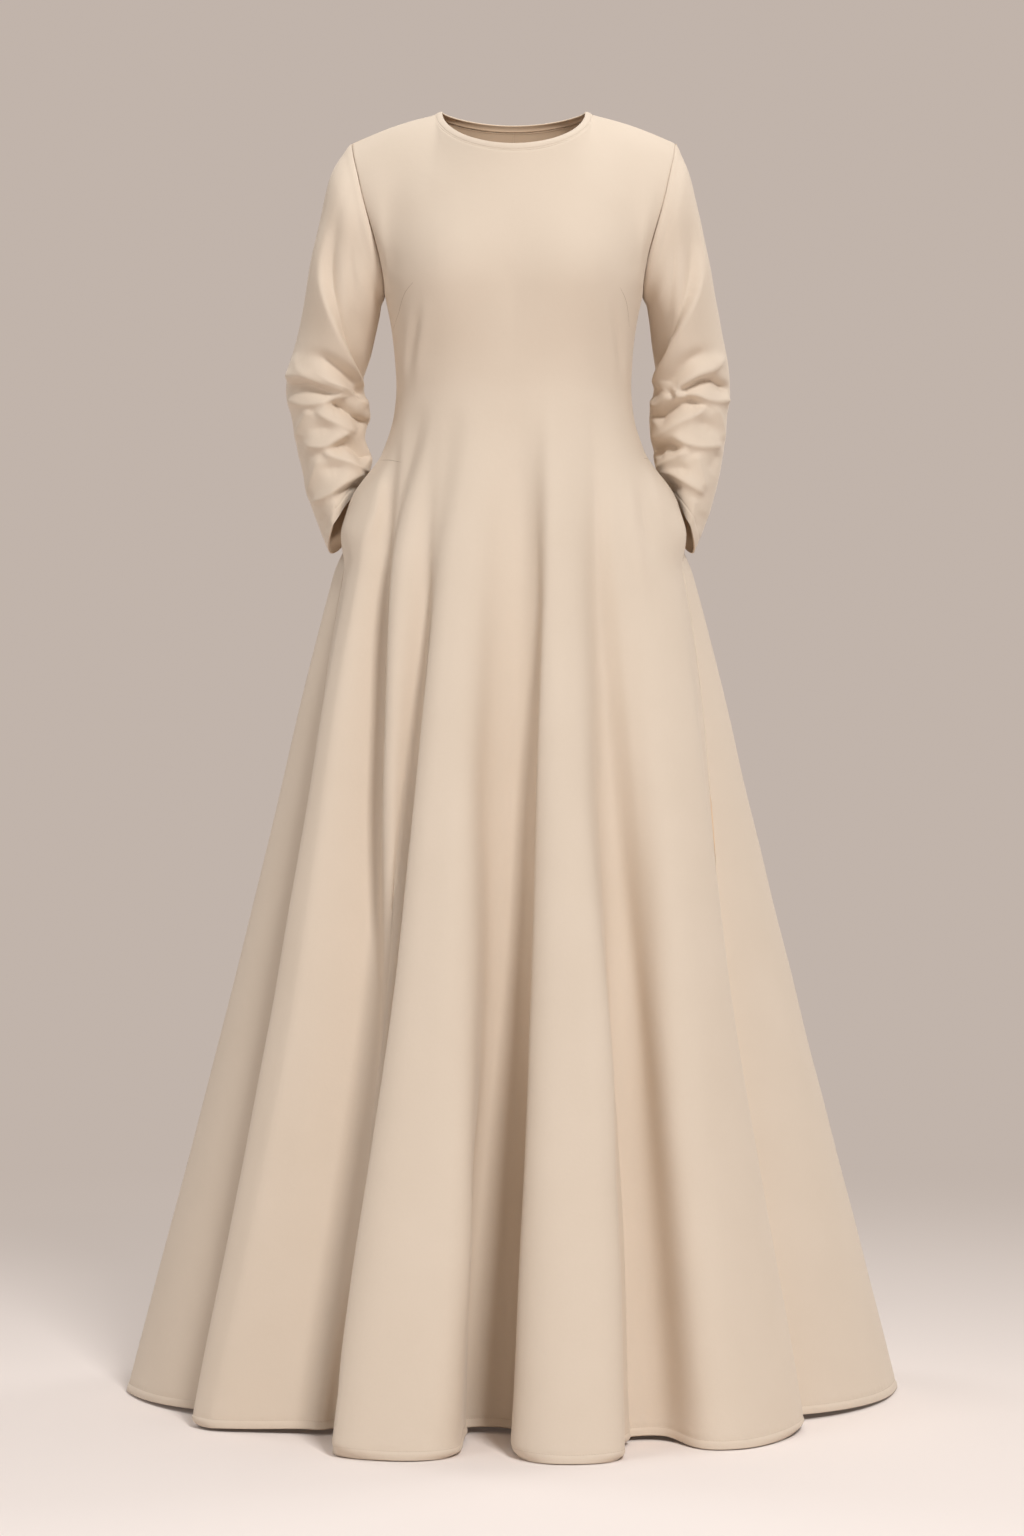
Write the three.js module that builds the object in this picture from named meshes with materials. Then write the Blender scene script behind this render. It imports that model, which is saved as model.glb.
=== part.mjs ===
// A worn, floor-length A-line abaya with a round neck, long set-in sleeves and side-seam
// pockets, standing open and hollow in the shape that it takes as it hangs.
//
// Sizes are in millimetres and heights are measured up from the hem. Left and right are the
// garment's own: +X is its left, -Y its front and +Z up. The group's origin is at the
// shoulders. Every cloth piece is a thin wall: a grid of points on the middle of the cloth,
// each with its own thickness direction, closed round its edges.
import * as THREE from "three";

const HOLD_HEIGHT = 1450; // from the hem to the level where the shoulders carry it
const CLOTH = 2; // wall of the main cloth, with its seam turnings pressed in
const POCKET_CLOTH = 1.2; // lighter cloth of the pocket bags
const SEAM_GAP = 0.6; // between two pieces that are sewn together
const PANEL_EASE = 0.65; // how far each panel's side edges stop short of their seams
const POCKET_GAP = 2.6; // between a pocket bag and the cloth round its mouth
const HEM_LIFT = 7; // how far the hem rises off the floor in a trough

const UNDERARM = 1262; // height of the underarm point
const FULL = 200; // below this height the folds have their whole roundness
// The heights at which the fold table states a fold's bearing, and those for its reach.
const BEARING_HEIGHTS = [0, 480, 950, 1135];
const REACH_HEIGHTS = [0, 480, 900, 1135];
const WAIST = 1135; // where the folds begin

const NECK_HALF_WIDTH = 82;
const NECK_TOP = 1471; // height of the neck edge at the shoulder
const NECK_FRONT = { depth: 85, drop: 45 };
const NECK_BACK = { depth: 66, drop: 8 };
const BINDING_WIDTH = 8.5;
const SHOULDER_TIP = { x: 186, y: 4, z: 1435 };
const SHOULDER_ARCH = 3; // how far the shoulder seam bows above a straight line

const YOKE_ROWS = 8; // rows from the shoulder and neck down to the underarm
const SKIRT_HEIGHTS = [
  1230, 1195, 1160, 1128, 1098, 1069, 1042, 1012, 980, 951, 900, 820, 700, 540, 350, 170, 0,
];
const COLUMNS_PER_HALF_FOLD = { front: 5, back: 4 };
const NECK_BEARING = 38; // where the shoulder and neck seams' meeting is carried down to

// Plan sections of the body without its folds: half width, front depth and back depth. square
// is the section's superellipse power: 2 is an ellipse, and more has flatter sides.
const BODY_SECTIONS = [
  { z: 0, half: 412, front: 320, back: 315, square: 2 },
  { z: 223, half: 363, front: 280, back: 277, square: 2 },
  { z: 453, half: 312, front: 240, back: 239, square: 2 },
  { z: 682, half: 260, front: 201, back: 201, square: 2 },
  { z: 797, half: 234, front: 181, back: 182, square: 2 },
  { z: 912, half: 207, front: 160, back: 163, square: 2 },
  { z: 967, half: 193, front: 149, back: 153, square: 2 },
  { z: 1026, half: 173, front: 134, back: 139, square: 2 },
  { z: 1069, half: 155, front: 121, back: 124, square: 2.05 },
  { z: 1095, half: 145, front: 113, back: 112, square: 2.1 },
  { z: 1118, half: 138, front: 107, back: 102, square: 2.15 },
  { z: 1150, half: 134, front: 102, back: 93, square: 2.2 },
  { z: 1181, half: 135, front: 103, back: 91, square: 2.3 },
  { z: 1221, half: 139, front: 108, back: 94, square: 2.45 },
  { z: UNDERARM, half: 147, front: 112, back: 99, square: 2.6 },
];

// The armhole seam from the shoulder tip down to the underarm, on the front and on the back.
const ARMHOLE_FRONT = [
  { down: 0, x: 186, y: 4, z: 1435 },
  { down: 0.125, x: 183, y: -14, z: 1417 },
  { down: 0.25, x: 178, y: -29, z: 1396 },
  { down: 0.375, x: 172.5, y: -41, z: 1372 },
  { down: 0.5, x: 165.5, y: -48, z: 1347 },
  { down: 0.625, x: 158, y: -49, z: 1321 },
  { down: 0.75, x: 151.5, y: -42, z: 1296 },
  { down: 0.875, x: 147.5, y: -26, z: 1274 },
  { down: 1, x: 147, y: 0, z: 1262 },
];
const ARMHOLE_BACK = [
  { down: 0, x: 186, y: 4, z: 1435 },
  { down: 0.125, x: 184, y: 21, z: 1418 },
  { down: 0.25, x: 180, y: 36, z: 1397 },
  { down: 0.375, x: 175, y: 46, z: 1373 },
  { down: 0.5, x: 168, y: 52, z: 1348 },
  { down: 0.625, x: 160, y: 53, z: 1321 },
  { down: 0.75, x: 152.5, y: 45, z: 1296 },
  { down: 0.875, x: 148, y: 28, z: 1274 },
  { down: 1, x: 147, y: 0, z: 1262 },
];

// The slopes with which the cloth along an armhole leaves the shoulder and meets the side.
const ARMHOLE_SLOPES = { leave: { x: -20, y: 144, z: -144 }, arrive: { x: -4, y: -215, z: -96 } };

// Bust shaping: one soft mound on each side of the front.
const BUST = { x: 74, z: 1285, out: 14, radiusX: 46, radiusZ: 48 };

// The skirt's folds, round the body from the side seam on the right. Bearings are
// degrees from the centre front at BEARING_HEIGHTS. Reaches are how far the cloth stands
// outside (in a trough, inside) the plain section at REACH_HEIGHTS; at the waist they end.
// Halves are the half widths at the hem, on the side of the row before and the row after.
const FRONT_FOLDS = [
  { name: "right_seam", bearing: [-60, -65, -82, -90], reach: [-48, -34, -5, 0], half: [26, 26] },
  { name: "right_side", bearing: [-51, -50, -60, -70], reach: [18, 10, 6, 0], half: [36, 30] },
  { name: "trough_a", bearing: [-35, -36, -49, -50], reach: [-22, -36, -20, 0], half: [30, 20] },
  { name: "narrow", bearing: [-28.5, -28, -38.5, -40], reach: [-38, -14, 5, 0], half: [14, 9] },
  { name: "trough_b", bearing: [-24.5, -23, -28, -29], reach: [-72, -44, -8, 0], half: [10, 18] },
  { name: "right_front", bearing: [-16.2, -16.8, -19.5, -19], reach: [88, 46, 8, 0], half: [56, 50] },
  { name: "centre_trough", bearing: [-4.3, -1.5, 0, -2], reach: [-80, -42, -8, 0], half: [27, 27] },
  { name: "left_front", bearing: [8, 12, 15, 16], reach: [98, 50, 9, 0], half: [46, 38] },
  { name: "trough_c", bearing: [21, 24, 30, 34], reach: [-20, -16, -6, 0], half: [34, 26] },
  { name: "left_side", bearing: [32, 35, 49, 60], reach: [62, 36, 8, 0], half: [36, 58] },
  { name: "left_seam", bearing: [56.5, 60, 80, 90], reach: [-42, -32, -5, 0], half: [28, 28] },
];
const LEFT_BACK_FOLDS = [
  { name: "left_hip", bearing: [96, 94, 97, 105], reach: [36, 15, 8, 0], half: [66, 56] },
  { name: "trough_d", bearing: [115, 114, 113, 118], reach: [-52, -34, -8, 0], half: [30, 30] },
  { name: "left_rear", bearing: [132, 131, 130, 134], reach: [54, 30, 7, 0], half: [54, 54] },
  { name: "trough_e", bearing: [148, 147, 146, 148], reach: [-55, -34, -7, 0], half: [28, 28] },
  { name: "left_back", bearing: [164, 163, 163, 164], reach: [68, 38, 7, 0], half: [56, 56] },
  { name: "back_seam", bearing: [180, 180, 180, 180], reach: [-62, -36, -7, 0], half: [26, 26] },
];
const RIGHT_BACK_FOLDS = [
  { name: "back_seam", bearing: [180, 180, 180, 180], reach: [-62, -36, -7, 0], half: [26, 26] },
  { name: "right_back", bearing: [197, 198, 198, 197], reach: [72, 40, 7, 0], half: [58, 58] },
  { name: "trough_f", bearing: [214, 215, 215, 213], reach: [-52, -34, -7, 0], half: [28, 28] },
  { name: "right_rear", bearing: [230, 231, 232, 228], reach: [52, 30, 7, 0], half: [54, 54] },
  { name: "trough_g", bearing: [247, 248, 249, 244], reach: [-50, -33, -8, 0], half: [30, 30] },
  { name: "right_hip", bearing: [265, 266, 264, 255], reach: [38, 16, 9, 0], half: [56, 68] },
  { name: "right_seam", bearing: [300, 295, 278, 270], reach: [-48, -34, -5, 0], half: [26, 26] },
];

// The mouth of each side-seam pocket: the front edge is held out and the back edge sinks in.
const POCKET = {
  top: 1069,
  bottom: 951,
  frontOut: 15,
  frontForward: 10,
  backIn: 10,
  backBehind: 4,
  fade: 45, // how far below the top and above the bottom the shaping reaches its whole
  spread: 34, // how many degrees of each panel the shaping fades over
};
// The pocket bag's rings from the mouth inwards. away is the bearing from the mouth in
// degrees, off is how far its middle lies inside the front cloth.
const POCKET_RINGS = [
  { away: 9, z: 1000, halfHeight: 66, off: 17, halfThick: 11 },
  { away: 20, z: 980, halfHeight: 84, off: 18, halfThick: 13 },
  { away: 33, z: 962, halfHeight: 84, off: 18, halfThick: 12 },
  { away: 42, z: 946, halfHeight: 66, off: 17, halfThick: 9 },
  { away: 47, z: 936, halfHeight: 40, off: 16, halfThick: 4 },
];
const POCKET_COLUMNS = 20;

// Sleeve rings from the shoulder to the cuff, as the front shows them: the outer edge, the
// inner edge, and the middle and half of its depth. Distances are out from the centre line.
const RIGHT_SLEEVE = [
  { outX: 209, outZ: 1399, inX: 152, inZ: 1250, midY: 4, half: 57, tilt: 0 },
  { outX: 221, outZ: 1345, inX: 154, inZ: 1238, midY: 8, half: 61, tilt: 0 },
  { outX: 233, outZ: 1285, inX: 158, inZ: 1219, midY: 14, half: 61, tilt: 0 },
  { outX: 246, outZ: 1226, inX: 164, inZ: 1194, midY: 24, half: 59, tilt: 0 },
  { outX: 258, outZ: 1180, inX: 173, inZ: 1166, midY: 32, half: 58, tilt: 0 },
  { outX: 262, outZ: 1152, inX: 171, inZ: 1146, midY: 36, half: 57, tilt: 0 },
  { outX: 256, outZ: 1124, inX: 166, inZ: 1122, midY: 36, half: 55, tilt: 0 },
  { outX: 250, outZ: 1092, inX: 173, inZ: 1099, midY: 34, half: 53, tilt: 0 },
  { outX: 243, outZ: 1055, inX: 164, inZ: 1076, midY: 31, half: 50, tilt: 1 },
  { outX: 232, outZ: 1018, inX: 170, inZ: 1054, midY: 28, half: 47, tilt: 3 },
  { outX: 221, outZ: 988, inX: 176, inZ: 1040, midY: 25, half: 44, tilt: 6 },
  { outX: 210, outZ: 966, inX: 181, inZ: 1030, midY: 23, half: 42, tilt: 9 },
];
const LEFT_SLEEVE = [
  { outX: 201, outZ: 1399, inX: 152, inZ: 1250, midY: 4, half: 57, tilt: 0 },
  { outX: 213, outZ: 1345, inX: 154, inZ: 1238, midY: 8, half: 61, tilt: 0 },
  { outX: 224, outZ: 1285, inX: 157, inZ: 1219, midY: 14, half: 61, tilt: 0 },
  { outX: 238, outZ: 1226, inX: 160, inZ: 1194, midY: 24, half: 59, tilt: 0 },
  { outX: 247, outZ: 1180, inX: 163, inZ: 1168, midY: 32, half: 58, tilt: 0 },
  { outX: 250, outZ: 1152, inX: 161, inZ: 1148, midY: 36, half: 57, tilt: 0 },
  { outX: 246, outZ: 1124, inX: 157, inZ: 1124, midY: 36, half: 55, tilt: 0 },
  { outX: 243, outZ: 1092, inX: 159, inZ: 1100, midY: 34, half: 53, tilt: 0 },
  { outX: 237, outZ: 1055, inX: 162, inZ: 1076, midY: 31, half: 50, tilt: 1 },
  { outX: 227, outZ: 1018, inX: 168, inZ: 1054, midY: 28, half: 47, tilt: 3 },
  { outX: 216, outZ: 988, inX: 175, inZ: 1040, midY: 25, half: 44, tilt: 5 },
  { outX: 206, outZ: 966, inX: 180, inZ: 1030, midY: 23, half: 42, tilt: 7 },
];

const radians = THREE.MathUtils.degToRad;
const mix = THREE.MathUtils.lerp;
const smooth = (x, from, to) => THREE.MathUtils.smoothstep(x, from, to);
const vec = (x, y, z) => new THREE.Vector3(x, y, z);

// Cubic Hermite between two numbers, with the slopes at its two ends.
function hermite(from, to, slopeFrom, slopeTo, t) {
  const t2 = t * t;
  const t3 = t2 * t;
  return (
    from * (2 * t3 - 3 * t2 + 1) +
    slopeFrom * (t3 - 2 * t2 + t) +
    to * (3 * t2 - 2 * t3) +
    slopeTo * (t3 - t2)
  );
}

// One column of a table as a smooth function of another, through every row.
function curveOf(rows, key, at) {
  const slope = (i) => {
    const low = Math.max(i - 1, 0);
    const high = Math.min(i + 1, rows.length - 1);
    return (rows[high][key] - rows[low][key]) / (rows[high][at] - rows[low][at]);
  };
  return (x) => {
    let i = 0;
    while (i < rows.length - 2 && x > rows[i + 1][at]) i += 1;
    const span = rows[i + 1][at] - rows[i][at];
    const t = (x - rows[i][at]) / span;
    return hermite(rows[i][key], rows[i + 1][key], slope(i) * span, slope(i + 1) * span, t);
  };
}

const halfWidthAt = curveOf(BODY_SECTIONS, "half", "z");
const frontDepthAt = curveOf(BODY_SECTIONS, "front", "z");
const backDepthAt = curveOf(BODY_SECTIONS, "back", "z");
const squareAt = curveOf(BODY_SECTIONS, "square", "z");

// A point of the plain section, moved out along the section's normal.
function sectionPoint(bearing, out, z) {
  const a = halfWidthAt(z);
  const across = Math.sin(radians(bearing));
  const ahead = Math.cos(radians(bearing));
  const b = ahead > 0 ? frontDepthAt(z) : backDepthAt(z);
  const bend = (value, power) => Math.sign(value) * Math.abs(value) ** power;
  const power = 2 / squareAt(z);
  const normal = vec(bend(across, 2 - power) / a, -bend(ahead, 2 - power) / b, 0).normalize();
  return vec(a * bend(across, power), -b * bend(ahead, power), z).addScaledVector(normal, out);
}

// One list of a fold row's values as a smooth function of height.
function foldValue(values, heights, z) {
  const rows = heights.map((height, i) => ({ height, value: values[i] }));
  return curveOf(rows, "value", "height")(Math.min(z, heights[heights.length - 1]));
}

// Where a fold's middle is at a height: its bearing and how far out it stands.
function foldAt(fold, z) {
  const out = foldValue(fold.reach, REACH_HEIGHTS, z);
  return { bearing: foldValue(fold.bearing, BEARING_HEIGHTS, z), out: z < WAIST ? out : 0 };
}

// How far a crest and the next trough bulge past an even wave, from their half widths: the
// end slopes of the cubic that passes those widths a third of the way in from each end.
function fullness(fold, next) {
  const radius = (halfWidthAt(0) + frontDepthAt(0)) / 2;
  const span = radians(next.bearing[0] - fold.bearing[0]) * radius;
  const [even, own, other] = [7 / 27, 4 / 27, 2 / 27];
  const near = fold.half[1] / span - even;
  const far = next.half[0] / span - even;
  const scale = 1 / (own * own - other * other);
  return { near: (own * near + other * far) * scale, far: (own * far + other * near) * scale };
}

// The cloth's middle at a place along a panel's folds: place 2.5 is half way from row 2 to 3.
function foldedPoint(folds, place, z) {
  const i = Math.min(Math.floor(place), folds.length - 2);
  const t = place - i;
  const here = foldAt(folds[i], z);
  const next = foldAt(folds[i + 1], z);
  const round = 1 - smooth(z, FULL, WAIST);
  const full = fullness(folds[i], folds[i + 1]);
  const span = next.bearing - here.bearing;
  const near = mix(1, full.near, round) * span;
  const far = mix(1, full.far, round) * span;
  const bearing = hermite(here.bearing, next.bearing, near, far, t);
  const out = hermite(here.out, next.out, 0, 0, t);
  const point = sectionPoint(bearing, out, z);
  point.z += HEM_LIFT * smooth(-out, -60, 60) * (1 - smooth(z, 0, 260));
  return point;
}

function addBust(point) {
  if (point.y > 0) return point;
  const dx = (Math.abs(point.x) - BUST.x) / BUST.radiusX;
  const dz = (point.z - BUST.z) / BUST.radiusZ;
  point.y -= BUST.out * Math.exp(-(dx * dx + dz * dz) / 2);
  return point;
}

// The side seam's bearing at a height, on the right or left.
function seamBearing(side, z) {
  const fold = side < 0 ? FRONT_FOLDS[0] : FRONT_FOLDS[FRONT_FOLDS.length - 1];
  return foldAt(fold, z).bearing;
}

// How much of the pocket mouth's shaping a height has: all of it along the open part.
function mouthShare(z) {
  const { top, bottom, fade } = POCKET;
  return smooth(z, bottom - 10, bottom + fade) * (1 - smooth(z, top - fade, top + 14));
}

// Holds a panel's edge out at the pocket mouth, or sinks it in on the back.
function shapeMouth(point, isFront) {
  const side = Math.sign(point.x);
  const bearing = THREE.MathUtils.radToDeg(
    Math.atan2(point.x / halfWidthAt(point.z), -point.y / frontDepthAt(point.z)),
  );
  const away = Math.abs(bearing - seamBearing(side, point.z));
  const share = mouthShare(point.z) * (1 - smooth(away, 0, POCKET.spread));
  const across = isFront ? POCKET.frontOut : -POCKET.backIn;
  const along = isFront ? -POCKET.frontForward : POCKET.backBehind;
  return point.add(vec(side * across * share, along * share, 0));
}

function bodyPoint(folds, place, z, isFront) {
  return addBust(shapeMouth(foldedPoint(folds, place, z), isFront));
}

// The neck edge, and the seam under its binding. turn runs from -90 to 90 degrees.
function neckPoint(turn, isFront, down) {
  const angle = radians(turn);
  const shape = isFront ? NECK_FRONT : NECK_BACK;
  const towards = isFront ? -1 : 1;
  const middle = Math.cos(angle);
  const drop = isFront ? middle : middle * middle;
  const across = NECK_HALF_WIDTH * Math.sin(angle);
  const edge = vec(across, towards * shape.depth * middle, NECK_TOP - shape.drop * drop);
  return edge.addScaledVector(neckFall(turn, isFront), down);
}

// The direction in which the cloth leaves the neck edge.
function neckFall(turn, isFront) {
  const angle = radians(turn);
  const middle = Math.cos(angle);
  const towards = isFront ? -1 : 1;
  const steep = mix(0.36, isFront ? 0.93 : 0.9, middle);
  const flat = Math.sqrt(1 - steep * steep);
  return vec(Math.sin(angle) * flat, towards * middle * flat, -steep).normalize();
}

// The direction in which a panel's columns leave the neck seam: straight forward or back,
// and steeper the nearer they are to the middle.
function panelFall(turn, isFront) {
  const middle = Math.cos(radians(turn)) ** 0.8;
  const slope = radians(mix(20, isFront ? 76 : 72, middle));
  return vec(0, (isFront ? -1 : 1) * Math.cos(slope), -Math.sin(slope));
}

// The top edge of a whole panel, from -90 at one shoulder tip to 90 at the other, with the
// direction in which the panel leaves it.
function topEdge(across, isFront) {
  const side = Math.sign(across) || 1;
  const share = Math.abs(across);
  const towards = isFront ? -1 : 1;
  if (share <= NECK_BEARING) {
    const turn = (90 * across) / NECK_BEARING;
    const point = neckPoint(turn, isFront, BINDING_WIDTH + SEAM_GAP);
    return { point, fall: panelFall(turn, isFront) };
  }
  const t = (share - NECK_BEARING) / (90 - NECK_BEARING);
  const start = neckPoint(90, isFront, BINDING_WIDTH + SEAM_GAP);
  const point = vec(
    side * mix(start.x, SHOULDER_TIP.x, t),
    mix(start.y, SHOULDER_TIP.y, t),
    mix(start.z, SHOULDER_TIP.z, t) + SHOULDER_ARCH * Math.sin(Math.PI * t),
  );
  return { point, fall: vec(0, towards * 0.95, -0.34).normalize() };
}

// One column of the yoke as a smooth curve from the top edge down to the underarm section.
// edge is 1 at the armhole and 0 well inside the panel.
function yokeCurve(top, foot, footBelow, edge, side, isFront) {
  const length = top.point.distanceTo(foot);
  const towards = isFront ? -1 : 1;
  const { leave, arrive } = ARMHOLE_SLOPES;
  const start = top.fall.clone().multiplyScalar(length * 0.6);
  const end = footBelow.clone().sub(foot).normalize().multiplyScalar(length * 1.1);
  start.lerp(vec(leave.x * side, leave.y * towards, leave.z), edge * edge);
  end.lerp(vec(arrive.x * side, arrive.y * towards, arrive.z), edge * edge);
  return (down) => {
    const along = (axis) => hermite(top.point[axis], foot[axis], start[axis], end[axis], down);
    return vec(along("x"), along("y"), along("z"));
  };
}

function armholePoint(side, isFront, down) {
  const rows = isFront ? ARMHOLE_FRONT : ARMHOLE_BACK;
  const along = (axis) => curveOf(rows, axis, "down")(down);
  return vec(side * along("x"), along("y"), along("z"));
}

// The rows of one panel, each a list of points on the middle of the cloth. across gives the
// place on the top edge for each column, and places the place along the folds.
function panelRows(folds, places, across, isFront) {
  const curves = places.map((place, column) => {
    const edge = smooth(Math.abs(across[column]), NECK_BEARING, 90);
    const side = Math.sign(across[column]) || 1;
    const foot = foldedPoint(folds, place, UNDERARM);
    const footBelow = foldedPoint(folds, place, UNDERARM - 12);
    const curve = yokeCurve(topEdge(across[column], isFront), foot, footBelow, edge, side, isFront);
    return { curve, edge, side };
  });
  const rim = (side) => {
    const top = topEdge(90 * side, isFront);
    const foot = sectionPoint(90 * side, 0, UNDERARM);
    return yokeCurve(top, foot, sectionPoint(90 * side, 0, UNDERARM - 12), 1, side, isFront);
  };
  const rims = { "-1": rim(-1), 1: rim(1) };
  const rows = [];
  for (let row = 0; row < YOKE_ROWS; row += 1) {
    const down = row / YOKE_ROWS;
    rows.push(
      curves.map(({ curve, edge, side }) => {
        const shift = armholePoint(side, isFront, down).sub(rims[side](down));
        return addBust(curve(down).addScaledVector(shift, edge * edge));
      }),
    );
  }
  for (const z of [UNDERARM, ...SKIRT_HEIGHTS]) {
    rows.push(places.map((place) => bodyPoint(folds, place, z, isFront)));
  }
  return rows;
}

// Unit normals of a grid of points, from each point's neighbours. turn is 1 or -1, so that
// the normals face out of the garment.
function gridNormals(grid, turn, wraps) {
  const last = grid.length - 1;
  return grid.map((row, i) =>
    row.map((point, j) => {
      const width = row.length;
      const left = wraps ? row[(j + width - 1) % width] : row[Math.max(j - 1, 0)];
      const right = wraps ? row[(j + 1) % width] : row[Math.min(j + 1, width - 1)];
      const up = grid[Math.max(i - 1, 0)][j];
      const down = grid[Math.min(i + 1, last)][j];
      return right.clone().sub(left).cross(up.clone().sub(down)).normalize().multiplyScalar(turn);
    }),
  );
}

// Whether a grid read down and across winds the way its thickness directions face.
function facesOut(grid, normals) {
  const i = Math.floor(grid.length / 2) - 1;
  const down = grid[i + 1][1].clone().sub(grid[i][1]);
  const across = grid[i][2].clone().sub(grid[i][1]);
  return down.cross(across).dot(normals[i][1]) > 0;
}

// Closes a grid of points into a wall of the given thickness.
function wall(grid, normals, thickness, { wraps = false, capped = false } = {}) {
  const height = grid.length;
  const width = grid[0].length;
  const positions = [];
  for (const side of [1, -1]) {
    grid.forEach((row, i) =>
      row.forEach((point, j) => {
        positions.push(...point.clone().addScaledVector(normals[i][j], (side * thickness) / 2).toArray());
      }),
    );
  }
  const index = [];
  const outer = (i, j) => i * width + (j % width);
  const inner = (i, j) => outer(i, j) + height * width;
  const quad = (a, b, c, d) => index.push(a, b, c, a, c, d);
  const spans = wraps ? width : width - 1;
  for (let i = 0; i < height - 1; i += 1) {
    for (let j = 0; j < spans; j += 1) {
      quad(outer(i, j), outer(i + 1, j), outer(i + 1, j + 1), outer(i, j + 1));
      quad(inner(i, j), inner(i, j + 1), inner(i + 1, j + 1), inner(i + 1, j));
    }
    if (!wraps) {
      quad(outer(i, 0), inner(i, 0), inner(i + 1, 0), outer(i + 1, 0));
      quad(outer(i, spans), outer(i + 1, spans), inner(i + 1, spans), inner(i, spans));
    }
  }
  for (let j = 0; j < spans; j += 1) {
    quad(outer(0, j), outer(0, j + 1), inner(0, j + 1), inner(0, j));
    const end = height - 1;
    if (!capped) quad(outer(end, j), inner(end, j), inner(end, j + 1), outer(end, j + 1));
  }
  if (capped) {
    for (let j = 1; j < width - 1; j += 1) {
      index.push(outer(height - 1, 0), outer(height - 1, j + 1), outer(height - 1, j));
      index.push(inner(height - 1, 0), inner(height - 1, j), inner(height - 1, j + 1));
    }
  }
  if (!facesOut(grid, normals)) {
    for (let k = 0; k < index.length; k += 3) [index[k], index[k + 1]] = [index[k + 1], index[k]];
  }
  const geometry = new THREE.BufferGeometry();
  geometry.setAttribute("position", new THREE.Float32BufferAttribute(positions, 3));
  geometry.setIndex(index);
  geometry.computeVertexNormals();
  return geometry;
}

// Moves the outermost points of a grid in from a seam, along the cloth.
function easeEdges(grid, gap, { top = false, left = false, right = false }) {
  const pull = (point, towards) => point.addScaledVector(towards.clone().sub(point).normalize(), gap);
  if (top) grid[0].forEach((point, j) => pull(point, grid[1][j]));
  for (const row of grid) {
    if (left) pull(row[0], row[1]);
    if (right) pull(row[row.length - 1], row[row.length - 2]);
  }
}

// Even places along the folds, a few to each half fold.
function foldPlaces(folds, perHalf) {
  const count = (folds.length - 1) * perHalf;
  return Array.from({ length: count + 1 }, (_, k) => k / perHalf);
}

// Thickness directions that the pieces on both sides of a seam share.
function shoulderNormal(side) {
  const slope = Math.atan2(NECK_TOP - SHOULDER_TIP.z, SHOULDER_TIP.x - NECK_HALF_WIDTH);
  return vec(side * Math.sin(slope), 0, Math.cos(slope));
}

function armholeNormal(point) {
  const middle = vec(point.x, 6, (SHOULDER_TIP.z + UNDERARM) / 2);
  return point.clone().sub(middle).normalize();
}

// Along a side or back seam: square to the plain section, so level.
function seamNormal(bearing, z) {
  return sectionPoint(bearing, 1, z).sub(sectionPoint(bearing, 0, z));
}

function neckNormal(turn, isFront) {
  const fall = neckFall(turn, isFront);
  const angle = radians(turn);
  const towards = isFront ? -1 : 1;
  const out = vec(Math.sin(angle), towards * Math.cos(angle), 0);
  return out.addScaledVector(fall, -out.dot(fall)).normalize();
}

// A panel's grid and thickness directions, with the shared ones along its seams.
function panel(folds, places, across, isFront) {
  const grid = panelRows(folds, places, across, isFront);
  const normals = gridNormals(grid, 1, false);
  grid[0].forEach((point, j) => {
    const share = Math.abs(across[j]);
    if (share > NECK_BEARING) normals[0][j] = shoulderNormal(Math.sign(across[j]));
    else normals[0][j] = neckNormal((90 * across[j]) / NECK_BEARING, isFront);
  });
  for (const j of [0, places.length - 1]) {
    if (Math.abs(across[j]) < 90) continue;
    for (let i = 0; i <= YOKE_ROWS; i += 1) normals[i][j] = armholeNormal(grid[i][j]);
  }
  for (const [j, fold] of [[0, folds[0]], [places.length - 1, folds[folds.length - 1]]]) {
    for (let i = 0; i < grid.length; i += 1) {
      const z = grid[i][j].z;
      const isSeam = i > YOKE_ROWS || fold.name === "back_seam";
      const shared = seamNormal(foldAt(fold, z).bearing, Math.min(z, UNDERARM));
      if (isSeam) normals[i][j] = shared.lerp(normals[i][j], mouthShare(z)).normalize();
    }
  }
  return { grid, normals };
}

// For each column, how many degrees from the middle it meets the underarm section. The one
// nearest the shoulder's meeting with the neck is moved onto it.
function columnsAcross(folds, places, isFront) {
  const across = places.map((place) => {
    const i = Math.min(Math.floor(place), folds.length - 2);
    const bearing = mix(folds[i].bearing[3], folds[i + 1].bearing[3], place - i);
    return isFront ? bearing : 180 - bearing;
  });
  for (const target of [-NECK_BEARING, NECK_BEARING]) {
    const near = across.map((value) => Math.abs(value - target));
    const nearest = Math.min(...near);
    if (nearest < 5) across[near.indexOf(nearest)] = target;
  }
  return across;
}

function makePanel(folds, perHalf, isFront) {
  const places = foldPlaces(folds, perHalf);
  return panel(folds, places, columnsAcross(folds, places, isFront), isFront);
}

// A sleeve: its first ring is the armhole, and the rest follow the table.
function sleeve(rings, side, front, back) {
  const armhole = armholeRing(side, front, back);
  const grid = [armhole.points];
  const count = armhole.points.length;
  for (const ring of rings) grid.push(armhole.turns.map((turn) => ringPoint(ring, side, turn)));
  const normals = gridNormals(grid, -side, true);
  for (let j = 0; j < count; j += 1) normals[0][j] = armholeNormal(grid[0][j]);
  return { grid, normals };
}

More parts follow.
